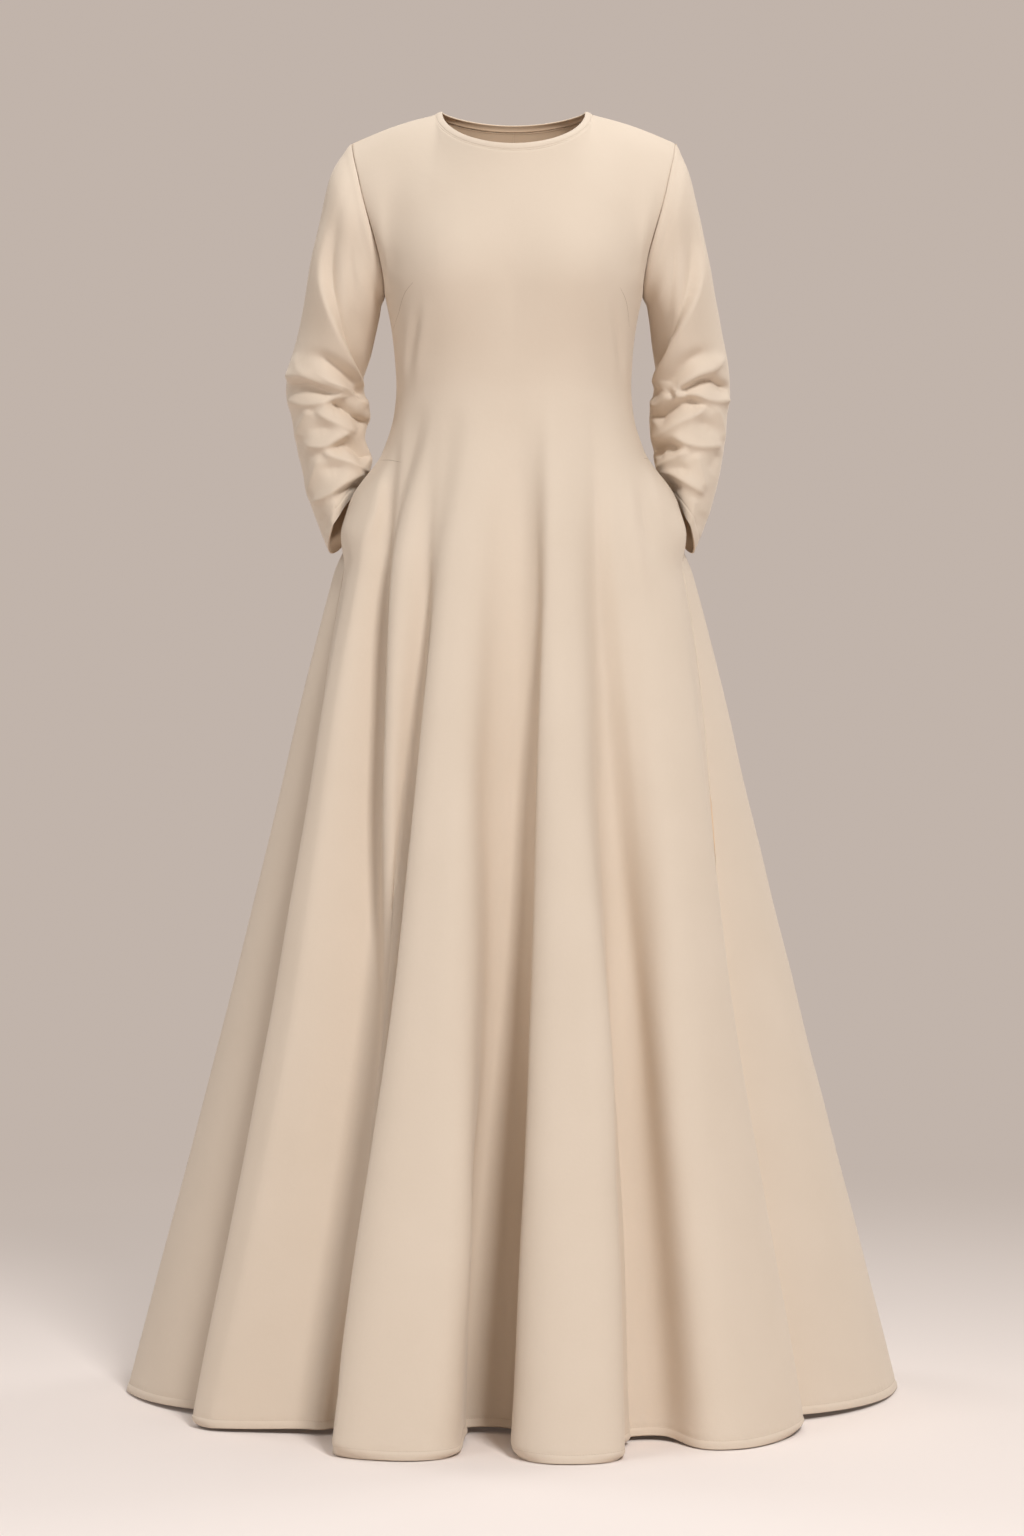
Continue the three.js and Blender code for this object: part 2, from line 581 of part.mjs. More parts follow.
// The armhole's points from the shoulder tip down the front and up the back, set just
// outside the body's edges, with each point's turn round the sleeve.
function armholeRing(side, front, back) {
  const frontColumn = side < 0 ? 0 : front.grid[0].length - 1;
  const backColumn = side < 0 ? back.grid[0].length - 1 : 0;
  const down = front.grid.slice(0, YOKE_ROWS + 1).map((row) => row[frontColumn]);
  const up = back.grid.slice(1, YOKE_ROWS).map((row) => row[backColumn]).reverse();
  const outwards = vec(side, 0, 0);
  const points = [...down, ...up].map((point) => point.clone().addScaledVector(outwards, SEAM_GAP));
  const middle = (SHOULDER_TIP.z + UNDERARM) / 2;
  const turns = points.map((point, j) => {
    const height = (point.z - middle) / ((SHOULDER_TIP.z - UNDERARM) / 2);
    const turn = Math.acos(THREE.MathUtils.clamp(height, -1, 1));
    return j <= YOKE_ROWS ? turn : 2 * Math.PI - turn;
  });
  return { points, turns };
}

// A point of a sleeve ring. Its front is tilted away from the body, towards the elbow.
function ringPoint(ring, side, turn) {
  const centre = vec((side * (ring.outX + ring.inX)) / 2, ring.midY, (ring.outZ + ring.inZ) / 2);
  const out = vec((side * (ring.outX - ring.inX)) / 2, 0, (ring.outZ - ring.inZ) / 2);
  const forward = vec(-side * out.z, 0, side * out.x).normalize().multiplyScalar(ring.tilt);
  forward.y = -ring.half;
  return centre.addScaledVector(out, Math.cos(turn)).addScaledVector(forward, Math.sin(turn));
}

// The place along a panel's folds that has a bearing at a height, found by halving.
function placeAt(folds, bearing, z, from, to) {
  let [low, high] = [from, to];
  for (let step = 0; step < 24; step += 1) {
    const middle = (low + high) / 2;
    const i = Math.min(Math.floor(middle), folds.length - 2);
    const at = mix(foldAt(folds[i], z).bearing, foldAt(folds[i + 1], z).bearing, middle - i);
    if (at < bearing) low = middle;
    else high = middle;
  }
  return (low + high) / 2;
}

// The direction square to the cloth of a panel, facing out.
function clothNormal(folds, place, z, isFront) {
  const low = Math.max(place - 0.05, 0);
  const high = Math.min(place + 0.05, folds.length - 1);
  const along = bodyPoint(folds, high, z, isFront).sub(bodyPoint(folds, low, z, isFront));
  const up = bodyPoint(folds, place, z + 4, isFront).sub(bodyPoint(folds, place, z - 4, isFront));
  return along.cross(up).normalize();
}

// A pocket bag: its mouth ring lies just inside the edges of the front and back cloth, and
// the rest hang inside the front cloth, which they follow.
function pocket(side, backFolds) {
  const inside = CLOTH / 2 + POCKET_CLOTH / 2 + POCKET_GAP;
  const frontSeam = side < 0 ? 0 : FRONT_FOLDS.length - 1;
  const backSeam = side < 0 ? backFolds.length - 1 : 0;
  const turns = Array.from({ length: POCKET_COLUMNS }, (_, k) => (2 * Math.PI * k) / POCKET_COLUMNS);
  const mouthMiddle = (POCKET.top + POCKET.bottom) / 2;
  const mouthHalf = (POCKET.top - POCKET.bottom) / 2;
  const under = (folds, place, z, isFront, depth) =>
    bodyPoint(folds, place, z, isFront).addScaledVector(clothNormal(folds, place, z, isFront), -depth);
  const mouth = turns.map((turn) => {
    const z = mouthMiddle + mouthHalf * Math.cos(turn);
    const isFront = turn <= Math.PI;
    return isFront
      ? under(FRONT_FOLDS, frontSeam, z, true, inside)
      : under(backFolds, backSeam, z, false, inside);
  });
  const grid = [mouth];
  for (const ring of POCKET_RINGS) {
    grid.push(
      turns.map((turn) => {
        const z = ring.z + ring.halfHeight * Math.cos(turn);
        const bearing = seamBearing(side, z) - side * ring.away;
        const place = placeAt(FRONT_FOLDS, bearing, z, 0, FRONT_FOLDS.length - 1);
        return under(FRONT_FOLDS, place, z, true, ring.off - ring.halfThick * Math.sin(turn));
      }),
    );
  }
  return { grid, normals: gridNormals(grid, side, true) };
}

// The binding: a ring of cloth round the neck edge, across the front and then the back.
function neckBinding() {
  const columns = 2 * 20;
  const round = Array.from({ length: columns }, (_, k) => {
    const isFront = k < columns / 2;
    const turn = isFront ? -90 + (360 * k) / columns : 270 - (360 * k) / columns;
    return { turn, isFront };
  });
  const shares = [0, 0.5, 1];
  const ring = (down) => round.map(({ turn, isFront }) => neckPoint(turn, isFront, down));
  const grid = shares.map((share) => ring(BINDING_WIDTH * share));
  const normals = shares.map(() => round.map(({ turn, isFront }) => neckNormal(turn, isFront)));
  return { grid, normals };
}

const LEFT_SEAM = FRONT_FOLDS[FRONT_FOLDS.length - 1];
const front = makePanel(FRONT_FOLDS, COLUMNS_PER_HALF_FOLD.front, true);
const backs = {
  left: makePanel([LEFT_SEAM, ...LEFT_BACK_FOLDS], COLUMNS_PER_HALF_FOLD.back, false),
  right: makePanel(RIGHT_BACK_FOLDS, COLUMNS_PER_HALF_FOLD.back, false),
};
const sleeves = {
  left: sleeve(LEFT_SLEEVE, 1, front, backs.left),
  right: sleeve(RIGHT_SLEEVE, -1, front, backs.right),
};

for (const { grid } of [front, backs.left, backs.right]) {
  easeEdges(grid, SEAM_GAP / 2, { top: true });
  easeEdges(grid, PANEL_EASE, { left: true, right: true });
}
const pockets = {
  left: pocket(1, [LEFT_SEAM, ...LEFT_BACK_FOLDS]),
  right: pocket(-1, RIGHT_BACK_FOLDS),
};
const tube = { wraps: true };
const bag = { wraps: true, capped: true };

const garment = new THREE.Group();
garment.position.z = -HOLD_HEIGHT;

// Adds one piece in its own plain crepe.
function addPiece(name, { grid, normals }, thickness, closing) {
  const crepe = new THREE.MeshStandardMaterial({
    name: `${name}_crepe`,
    color: 0xd9c6ae,
    roughness: 0.85,
    metalness: 0,
  });
  const mesh = new THREE.Mesh(wall(grid, normals, thickness, closing), crepe);
  mesh.name = name;
  garment.add(mesh);
}

addPiece("front", front, CLOTH);
addPiece("back_left", backs.left, CLOTH);
addPiece("back_right", backs.right, CLOTH);
addPiece("sleeve_left", sleeves.left, CLOTH, tube);
addPiece("sleeve_right", sleeves.right, CLOTH, tube);
addPiece("neck_binding", neckBinding(), CLOTH, tube);
addPiece("pocket_left", pockets.left, POCKET_CLOTH, bag);
addPiece("pocket_right", pockets.right, POCKET_CLOTH, bag);

const abaya = new THREE.Group();
abaya.add(garment);

export default abaya;
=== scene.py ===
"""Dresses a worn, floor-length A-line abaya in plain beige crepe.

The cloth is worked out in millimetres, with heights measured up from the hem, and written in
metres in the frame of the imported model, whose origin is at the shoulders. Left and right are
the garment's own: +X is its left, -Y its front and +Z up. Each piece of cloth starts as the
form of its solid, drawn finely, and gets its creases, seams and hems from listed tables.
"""

from __future__ import annotations

import logging
import math
from collections.abc import Sequence
from dataclasses import dataclass, field
from enum import Enum
from functools import cached_property
from typing import NamedTuple

import bpy
import numpy as np
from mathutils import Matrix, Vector
from mathutils.bvhtree import BVHTree

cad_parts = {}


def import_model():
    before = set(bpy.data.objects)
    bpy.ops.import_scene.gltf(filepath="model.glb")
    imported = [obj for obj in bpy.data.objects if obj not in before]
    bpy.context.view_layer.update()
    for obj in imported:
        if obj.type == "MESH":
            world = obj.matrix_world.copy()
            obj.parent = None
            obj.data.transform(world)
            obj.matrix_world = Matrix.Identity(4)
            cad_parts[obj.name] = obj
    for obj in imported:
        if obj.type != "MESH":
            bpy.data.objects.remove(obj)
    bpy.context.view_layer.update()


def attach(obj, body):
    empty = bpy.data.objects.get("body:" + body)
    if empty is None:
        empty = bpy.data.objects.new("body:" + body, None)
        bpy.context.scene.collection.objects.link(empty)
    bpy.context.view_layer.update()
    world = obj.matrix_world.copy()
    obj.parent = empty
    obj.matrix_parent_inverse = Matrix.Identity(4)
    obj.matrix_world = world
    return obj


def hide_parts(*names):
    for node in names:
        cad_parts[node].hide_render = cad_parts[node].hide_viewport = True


Array = np.ndarray
Path = tuple[tuple[float, float], ...]
Colour = tuple[float, float, float, float]

LOG = logging.getLogger("abaya")
METRES = 0.001
HOLD_HEIGHT = 1450.0  # from the hem to the level where the shoulders carry the garment
UNDERARM = 1262.0
WAIST = 1135.0  # where the folds of the skirt begin
FOLDS_WHOLE = 200.0  # below this height the folds have their whole roundness
HEM_LIFT = 7.0  # how far the hem rises off the floor in a trough
BEARING_HEIGHTS = (0, 480, 950, 1135)
REACH_HEIGHTS = (0, 480, 900, 1135)
SEAM_GAP = 0.6
NECK_BEARING = 38.0  # where the shoulder and neck seams' meeting is carried down to
LINE_SAMPLES = 24  # points along a crease's line when distances to it are measured
LINE_REACH = 3.2  # how many of its widths away a crease still moves the cloth


class Facing(Enum):
    """Which way a panel or a crease faces: out of the front or out of the back."""

    FRONT = -1.0
    BACK = 1.0


class Hold(Enum):
    HUNG = "hung"
    STRETCHED = "stretched"
    FOLDED = "folded"


def hermite(start: Array, end: Array, slope_start: Array, slope_end: Array, share: Array) -> Array:
    """Runs a smooth cubic between two values.

    Args:
        start: The value at share 0.
        end: The value at share 1.
        slope_start: The slope at share 0.
        slope_end: The slope at share 1.
        share: Where along the way, from 0 to 1.

    Returns:
        The values at those shares.
    """
    square = share * share
    cube = square * share
    return (
        start * (2 * cube - 3 * square + 1)
        + slope_start * (cube - 2 * square + share)
        + end * (3 * square - 2 * cube)
        + slope_end * (cube - square)
    )


def smooth(value: Array, low: float, high: float) -> Array:
    """Eases from 0 at low to 1 at high."""
    share = np.clip((value - low) / (high - low), 0.0, 1.0)
    return share * share * (3.0 - 2.0 * share)


def mix(first: Array, second: Array, share: Array) -> Array:
    """Blends from the first value, at share 0, to the second, at share 1."""
    return first + (second - first) * share


def unit(vectors: Array) -> Array:
    """Scales vectors along the last axis to length 1."""
    return vectors / np.maximum(np.linalg.norm(vectors, axis=-1, keepdims=True), 1e-9)


def triple(x: Array, y: Array, z: Array) -> Array:
    """Stacks three coordinates, spread to one shape, along a new last axis."""
    return np.stack(np.broadcast_arrays(x, y, z), axis=-1).astype(float)


@dataclass(frozen=True)
class Curve:
    """A smooth function through a few stated values, which may themselves be arrays."""

    at: Sequence[float]
    values: Sequence[float] | Array

    @cached_property
    def slopes(self) -> Array:
        """The slope at each stated value, from its neighbours."""
        at = np.asarray(self.at, float)
        values = np.asarray(self.values, float)
        order = np.arange(len(at))
        low = np.maximum(order - 1, 0)
        high = np.minimum(order + 1, len(at) - 1)
        span = (at[high] - at[low]).reshape(-1, *[1] * (values.ndim - 1))
        return (values[high] - values[low]) / span

    def __call__(self, where: Array | float) -> Array:
        """Reads the curve.

        Args:
            where: One place, or an array of places.

        Returns:
            The values there, with the places' axes first.
        """
        at = np.asarray(self.at, float)
        values = np.asarray(self.values, float)
        where = np.asarray(where, float)
        i = np.clip(np.searchsorted(at, where, side="left") - 1, 0, len(at) - 2)
        shape = where.shape + (1,) * (values.ndim - 1)
        span = np.reshape(at[i + 1] - at[i], shape)
        share = np.reshape(where - at[i], shape) / span
        return hermite(values[i], values[i + 1], self.slopes[i] * span, self.slopes[i + 1] * span, share)


def column_curve(rows: Sequence[NamedTuple], key: str, at: str) -> Curve:
    """Makes one column of a table into a curve over another."""
    return Curve([getattr(row, at) for row in rows], [getattr(row, key) for row in rows])


class Section(NamedTuple):
    """A plan section of the body without its folds. square 2 is an ellipse, more is squarer."""

    height: float
    half: float
    front: float
    back: float
    square: float


SECTIONS = (
    Section(0, 412, 320, 315, 2),
    Section(223, 363, 280, 277, 2),
    Section(453, 312, 240, 239, 2),
    Section(682, 260, 201, 201, 2),
    Section(797, 234, 181, 182, 2),
    Section(912, 207, 160, 163, 2),
    Section(967, 193, 149, 153, 2),
    Section(1026, 173, 134, 139, 2),
    Section(1069, 155, 121, 124, 2.05),
    Section(1095, 145, 113, 112, 2.1),
    Section(1118, 138, 107, 102, 2.15),
    Section(1150, 134, 102, 93, 2.2),
    Section(1181, 135, 103, 91, 2.3),
    Section(1221, 139, 108, 94, 2.45),
    Section(UNDERARM, 147, 112, 99, 2.6),
)


class Fold(NamedTuple):
    """One crest or trough of the skirt.

    Bearings are degrees from the centre front at BEARING_HEIGHTS, and reaches are how far the
    cloth stands outside the plain section, or inside it, at REACH_HEIGHTS. half holds its half
    widths at the hem, towards the row before and the row after.
    """

    name: str
    bearing: tuple[float, float, float, float]
    reach: tuple[float, float, float, float]
    half: tuple[float, float]


FRONT_FOLDS = (
    Fold("right_seam", (-60, -65, -82, -90), (-48, -34, -5, 0), (26, 26)),
    Fold("right_side", (-51, -50, -60, -70), (18, 10, 6, 0), (36, 30)),
    Fold("trough_a", (-35, -36, -49, -50), (-22, -36, -20, 0), (30, 20)),
    Fold("narrow", (-28.5, -28, -38.5, -40), (-38, -14, 5, 0), (14, 9)),
    Fold("trough_b", (-24.5, -23, -28, -29), (-72, -44, -8, 0), (10, 18)),
    Fold("right_front", (-16.2, -16.8, -19.5, -19), (88, 46, 8, 0), (56, 50)),
    Fold("centre_trough", (-4.3, -1.5, 0, -2), (-80, -42, -8, 0), (27, 27)),
    Fold("left_front", (8, 12, 15, 16), (98, 50, 9, 0), (46, 38)),
    Fold("trough_c", (21, 24, 30, 34), (-20, -16, -6, 0), (34, 26)),
    Fold("left_side", (32, 35, 49, 60), (62, 36, 8, 0), (36, 58)),
    Fold("left_seam", (56.5, 60, 80, 90), (-42, -32, -5, 0), (28, 28)),
)
LEFT_BACK_FOLDS = (
    FRONT_FOLDS[-1],
    Fold("left_hip", (96, 94, 97, 105), (36, 15, 8, 0), (66, 56)),
    Fold("trough_d", (115, 114, 113, 118), (-52, -34, -8, 0), (30, 30)),
    Fold("left_rear", (132, 131, 130, 134), (54, 30, 7, 0), (54, 54)),
    Fold("trough_e", (148, 147, 146, 148), (-55, -34, -7, 0), (28, 28)),
    Fold("left_back", (164, 163, 163, 164), (68, 38, 7, 0), (56, 56)),
    Fold("back_seam", (180, 180, 180, 180), (-62, -36, -7, 0), (26, 26)),
)
RIGHT_BACK_FOLDS = (
    LEFT_BACK_FOLDS[-1],
    Fold("right_back", (197, 198, 198, 197), (72, 40, 7, 0), (58, 58)),
    Fold("trough_f", (214, 215, 215, 213), (-52, -34, -7, 0), (28, 28)),
    Fold("right_rear", (230, 231, 232, 228), (52, 30, 7, 0), (54, 54)),
    Fold("trough_g", (247, 248, 249, 244), (-50, -33, -8, 0), (30, 30)),
    Fold("right_hip", (265, 266, 264, 255), (38, 16, 9, 0), (56, 68)),
    Fold("right_seam", (300, 295, 278, 270), (-48, -34, -5, 0), (26, 26)),
)


class ArmholeRow(NamedTuple):
    """One place on the armhole seam, from the shoulder tip down to the underarm."""

    down: float
    x: float
    y: float
    z: float


ARMHOLES = {
    Facing.FRONT: (
        ArmholeRow(0, 186, 4, 1435),
        ArmholeRow(0.125, 183, -14, 1417),
        ArmholeRow(0.25, 178, -29, 1396),
        ArmholeRow(0.375, 172.5, -41, 1372),
        ArmholeRow(0.5, 165.5, -48, 1347),
        ArmholeRow(0.625, 158, -49, 1321),
        ArmholeRow(0.75, 151.5, -42, 1296),
        ArmholeRow(0.875, 147.5, -26, 1274),
        ArmholeRow(1, 147, 0, 1262),
    ),
    Facing.BACK: (
        ArmholeRow(0, 186, 4, 1435),
        ArmholeRow(0.125, 184, 21, 1418),
        ArmholeRow(0.25, 180, 36, 1397),
        ArmholeRow(0.375, 175, 46, 1373),
        ArmholeRow(0.5, 168, 52, 1348),
        ArmholeRow(0.625, 160, 53, 1321),
        ArmholeRow(0.75, 152.5, 45, 1296),
        ArmholeRow(0.875, 148, 28, 1274),
        ArmholeRow(1, 147, 0, 1262),
    ),
}


class SleeveRing(NamedTuple):
    """One ring of a sleeve as the front shows it: its outer and inner edge, and its depth."""

    out_x: float
    out_z: float
    in_x: float
    in_z: float
    middle_y: float
    half: float
    tilt: float


RIGHT_RINGS = (
    SleeveRing(209, 1399, 152, 1250, 4, 57, 0),
    SleeveRing(221, 1345, 154, 1238, 8, 61, 0),
    SleeveRing(233, 1285, 158, 1219, 14, 61, 0),
    SleeveRing(246, 1226, 164, 1194, 24, 59, 0),
    SleeveRing(258, 1180, 173, 1166, 32, 58, 0),
    SleeveRing(262, 1152, 171, 1146, 36, 57, 0),
    SleeveRing(256, 1124, 166, 1122, 36, 55, 0),
    SleeveRing(250, 1092, 173, 1099, 34, 53, 0),
    SleeveRing(243, 1055, 164, 1076, 31, 50, 1),
    SleeveRing(232, 1018, 170, 1054, 28, 47, 3),
    SleeveRing(221, 988, 176, 1040, 25, 44, 6),
    SleeveRing(210, 966, 181, 1030, 23, 42, 9),
)
LEFT_RINGS = (
    SleeveRing(201, 1399, 152, 1250, 4, 57, 0),
    SleeveRing(213, 1345, 154, 1238, 8, 61, 0),
    SleeveRing(224, 1285, 157, 1219, 14, 61, 0),
    SleeveRing(238, 1226, 160, 1194, 24, 59, 0),
    SleeveRing(247, 1180, 163, 1168, 32, 58, 0),
    SleeveRing(250, 1152, 161, 1148, 36, 57, 0),
    SleeveRing(246, 1124, 157, 1124, 36, 55, 0),
    SleeveRing(243, 1092, 159, 1100, 34, 53, 0),
    SleeveRing(237, 1055, 162, 1076, 31, 50, 1),
    SleeveRing(227, 1018, 168, 1054, 28, 47, 3),
    SleeveRing(216, 988, 175, 1040, 25, 44, 5),
    SleeveRing(206, 966, 180, 1030, 23, 42, 7),
)


class BagRing(NamedTuple):
    """One ring of a pocket bag, from its mouth inwards."""

    away: float
    height: float
    half_height: float
    off: float
    half_thick: float


BAG_RINGS = (
    BagRing(9, 1000, 66, 17, 11),
    BagRing(20, 980, 84, 18, 13),
    BagRing(33, 962, 84, 18, 12),
    BagRing(42, 946, 66, 17, 9),
    BagRing(47, 936, 40, 16, 4),
)


class Nearness(NamedTuple):
    """Where points lie beside a line: which are near it, how far off, on which side and how far along."""

    near: Array
    gap: Array
    side: Array
    share: Array


@dataclass(frozen=True)
class Line:
    """A line laid on the cloth.

    path holds (across, height) pairs in millimetres, as seen square from the front, also for
    the back. left and right are how far its effect fades to each side of someone going along
    the path. start and stop are the shares of its length over which its two ends fade.
    """

    path: Path
    depth: float
    left: float
    right: float
    sharp: float = 1.7
    start: float = 0.35
    stop: float = 0.35

    def beside(self, across: Array, height: Array) -> Nearness:
        """Measures points against the line.

        Args:
            across: Each point's place across the garment.
            height: Each point's height above the hem.

        Returns:
            Which points are near, their distances, sides (1 left, -1 right) and shares along it.
        """
        line = Curve(range(len(self.path)), self.path)(np.linspace(0, len(self.path) - 1, LINE_SAMPLES))
        reach = LINE_REACH * max(self.left, self.right)
        low = line.min(axis=0) - reach
        high = line.max(axis=0) + reach
        near = (across > low[0]) & (across < high[0]) & (height > low[1]) & (height < high[1])
        points = np.stack([across[near], height[near]], axis=-1)
        steps = line[1:] - line[:-1]
        lengths = np.linalg.norm(steps, axis=-1)
        begun = np.concatenate([[0.0], np.cumsum(lengths)])
        gap = np.full(len(points), np.inf)
        side = np.zeros(len(points))
        share = np.zeros(len(points))
        for start, step, length, before in zip(line[:-1], steps, lengths, begun):
            away = points - start
            along = np.clip(away @ step / (length * length), 0.0, 1.0)
            distance = np.linalg.norm(away - along[:, None] * step, axis=-1)
            closer = distance < gap
            gap[closer] = distance[closer]
            side[closer] = np.sign(step[0] * away[:, 1] - step[1] * away[:, 0])[closer]
            share[closer] = (before + along * length)[closer] / begun[-1]
        return Nearness(near, gap, side, share)

    def profile(self, found: Nearness) -> Array:
        """Gives the height of the line's cross section, as a share of its depth."""
        raise NotImplementedError

    def push(self, across: Array, height: Array) -> Array:
        """Works out how far the line moves the cloth.

        Args:
            across: Each point's place across the garment.
            height: Each point's height above the hem.

        Returns:
            How far each point stands out.
        """
        amount = np.zeros(across.shape)
        found = self.beside(across, height)
        fade = smooth(found.share, -0.001, self.start) * (1 - smooth(found.share, 1 - self.stop, 1.001))
        amount[found.near] = self.depth * self.profile(found) * fade
        return amount


class Crease(Line):
    """A soft ridge, or a trough where depth is less than 0.

    sharp is 1.3 for a crisp top and 2 for a round one.
    """

    def profile(self, found: Nearness) -> Array:
        """Gives a bump that fades to both sides."""
        return np.exp(-((found.gap / np.where(found.side > 0, self.left, self.right)) ** self.sharp))


@dataclass(frozen=True)
class Lap(Line):
    """A fold's lapped edge.

    The cloth on its left stands out and on its right sinks, or the reverse where depth is less
    than 0. soft and crisp are the step's half widths at its start and end, grow is how much
    deeper it is at its end, and overlap is how much of its half width lies past the line.
    """

    soft: float = 9.0
    crisp: float = 2.6
    grow: float = 1.0
    overlap: float = 0.8

    def profile(self, found: Nearness) -> Array:
        """Gives a steep step that fades to both sides.

        Args:
            found: The points' places beside the line.

        Returns:
            The step's height at each point, as a share of its depth.
        """
        width = np.where(found.side > 0, self.left, self.right)
        edge = mix(self.soft, self.crisp, smooth(found.share, 0.05, 0.5))
        sign = np.sign(self.depth)
        foot = np.tanh((found.gap * found.side * sign + self.overlap * edge) / edge) * sign
        step = foot * np.exp(-((found.gap / width) ** self.sharp))
        return step * mix(1.0, self.grow, found.share)


FRONT_CREASES = (
    # the bust: a fan of soft ridges below each dart
    Crease(((-110, 1262), (-119, 1215), (-126, 1140)), 2.2, 5, 9, 1.5),
    Crease(((-96, 1256), (-104, 1210), (-113, 1140)), 2.0, 8, 7, 1.7),
    Crease(((-104, 1246), (-112, 1205), (-119, 1160)), -2.0, 5, 5, 2),
    Crease(((98, 1260), (109, 1212), (117, 1140)), 2.0, 9, 6, 1.5),
    Crease(((116, 1264), (124, 1212), (128, 1140)), 2.2, 7, 5, 1.7),
    Crease(((107, 1250), (116, 1205), (122, 1160)), -1.8, 5, 5, 2),
    # the outer edge of the wide fold on the right
    Lap(
        ((-190, 985), (-189, 955), (-208, 820), (-227, 688), (-260, 482), (-300, 260), (-352, 0)),
        5.0, 40, 24, 1.6, 0.3, 0.01, grow=1.8,
    ),
    # the narrow fold and the crest that it runs down into
    Lap(
        (
            (-119, 1160), (-124, 1100), (-127, 1055), (-130, 1017),
            (-135, 955), (-140, 800), (-149, 577), (-154, 400),
        ),
        5.5, 22, 30, 1.6, 0.2, 0.35, 6.0,
    ),
    Lap(
        (
            (-79, 1160), (-83, 1060), (-87, 960), (-90, 866), (-107, 733),
            (-127, 577), (-138, 466), (-154, 321), (-187, 0),
        ),
        6.0, 44, 26, 1.6, 0.25, 0.01, 8.0, grow=2.0,
    ),
    Crease(((-40, 1130), (-40, 960), (-40, 688), (-42, 466), (-49, 243)), 3.0, 26, 34, 1.8, 0.25, 0.3),
    Lap(((-43, 480), (-49, 243), (-55, 0)), -9.0, 22, 30, 1.6, 0.6, 0.01, 9.0),
    # the crest left of the middle, between a deep trough and a gentler one
    Lap(
        ((38, 1190), (37, 1085), (36, 989), (35, 911), (33, 866), (29, 688), (25, 466), (13, 188), (1, 0)),
        6.5, 24, 46, 1.5, 0.2, 0.01, 8.0, grow=1.9,
    ),
    Crease(((4, 1180), (5, 1000), (2, 850), (-5, 640), (-10, 500)), -11.0, 20, 42, 2, 0.3, 0.35),
    Lap(
        ((84, 700), (90, 633), (99, 466), (113, 243), (119, 0)),
        -6.0, 30, 24, 1.6, 0.4, 0.01, 9.0, grow=1.5,
    ),
    Crease(((76, 1180), (79, 1080), (82, 960), (88, 800), (98, 640)), 4.0, 14, 22, 1.8, 0.35, 0.4),
    Crease(
        (
            (82, 1160), (89, 1040), (93, 957), (98, 880), (104, 797),
            (112, 683), (122, 568), (134, 440), (148, 280),
        ),
        -9.0, 11, 20, 1.8, 0.3, 0.4,
    ),
    Crease(
        ((104, 1160), (110, 1080), (115, 957), (121, 880), (128, 797), (138, 683), (150, 540)),
        4.0, 30, 12, 1.7, 0.35, 0.4,
    ),
    # the outer crest on the left
    Lap(
        ((180, 1000), (189, 949), (196, 855), (207, 733), (236, 466), (274, 243), (314, 0)),
        -6.5, 42, 36, 1.5, 0.3, 0.01, grow=1.8,
    ),
    # inside the pocket edges
    Crease(((-148, 1075), (-152, 1039), (-157, 1008), (-168, 981), (-182, 962)), 2.4, 5, 9, 1.5),
    Crease(((-142, 1062), (-144, 1025), (-149, 985), (-158, 945)), -2.2, 8, 9, 2),
    Crease(((150, 1070), (157, 1040), (165, 1015), (175, 985)), 2.0, 9, 5, 1.5),
    Crease(((129, 1060), (132, 1003), (142, 950), (152, 900)), 2.4, 9, 7, 1.6),
    Crease(((140, 1050), (146, 1000), (156, 950)), -2.0, 7, 6, 2),
    # faint folds above the bust and from the neck
    Crease(((-168, 1318), (-150, 1296), (-122, 1278)), -1.4, 16, 14, 2),
    Crease(((164, 1318), (148, 1296), (124, 1280)), -1.2, 16, 14, 2),
    Crease(((-66, 1402), (-98, 1380), (-128, 1340)), 1.0, 16, 18, 2),
    Crease(((70, 1404), (96, 1384), (128, 1348)), 0.9, 16, 18, 2),
    # the drag of the skirt in its long crests
    Crease(((-60, 720), (-72, 560), (-84, 380)), 2.4, 22, 18, 2),
    Crease(((70, 640), (82, 460), (88, 250)), 2.0, 20, 20, 2),
    Crease(((-248, 640), (-275, 480), (-302, 300)), 2.2, 14, 18, 2),
    Crease(((222, 700), (252, 500), (286, 280)), 2.0, 16, 18, 2),
    Crease(((150, 560), (166, 400), (186, 210)), 1.6, 18, 18, 2),
    Crease(((-206, 520), (-226, 360), (-246, 180)), 1.8, 14, 16, 2),
)
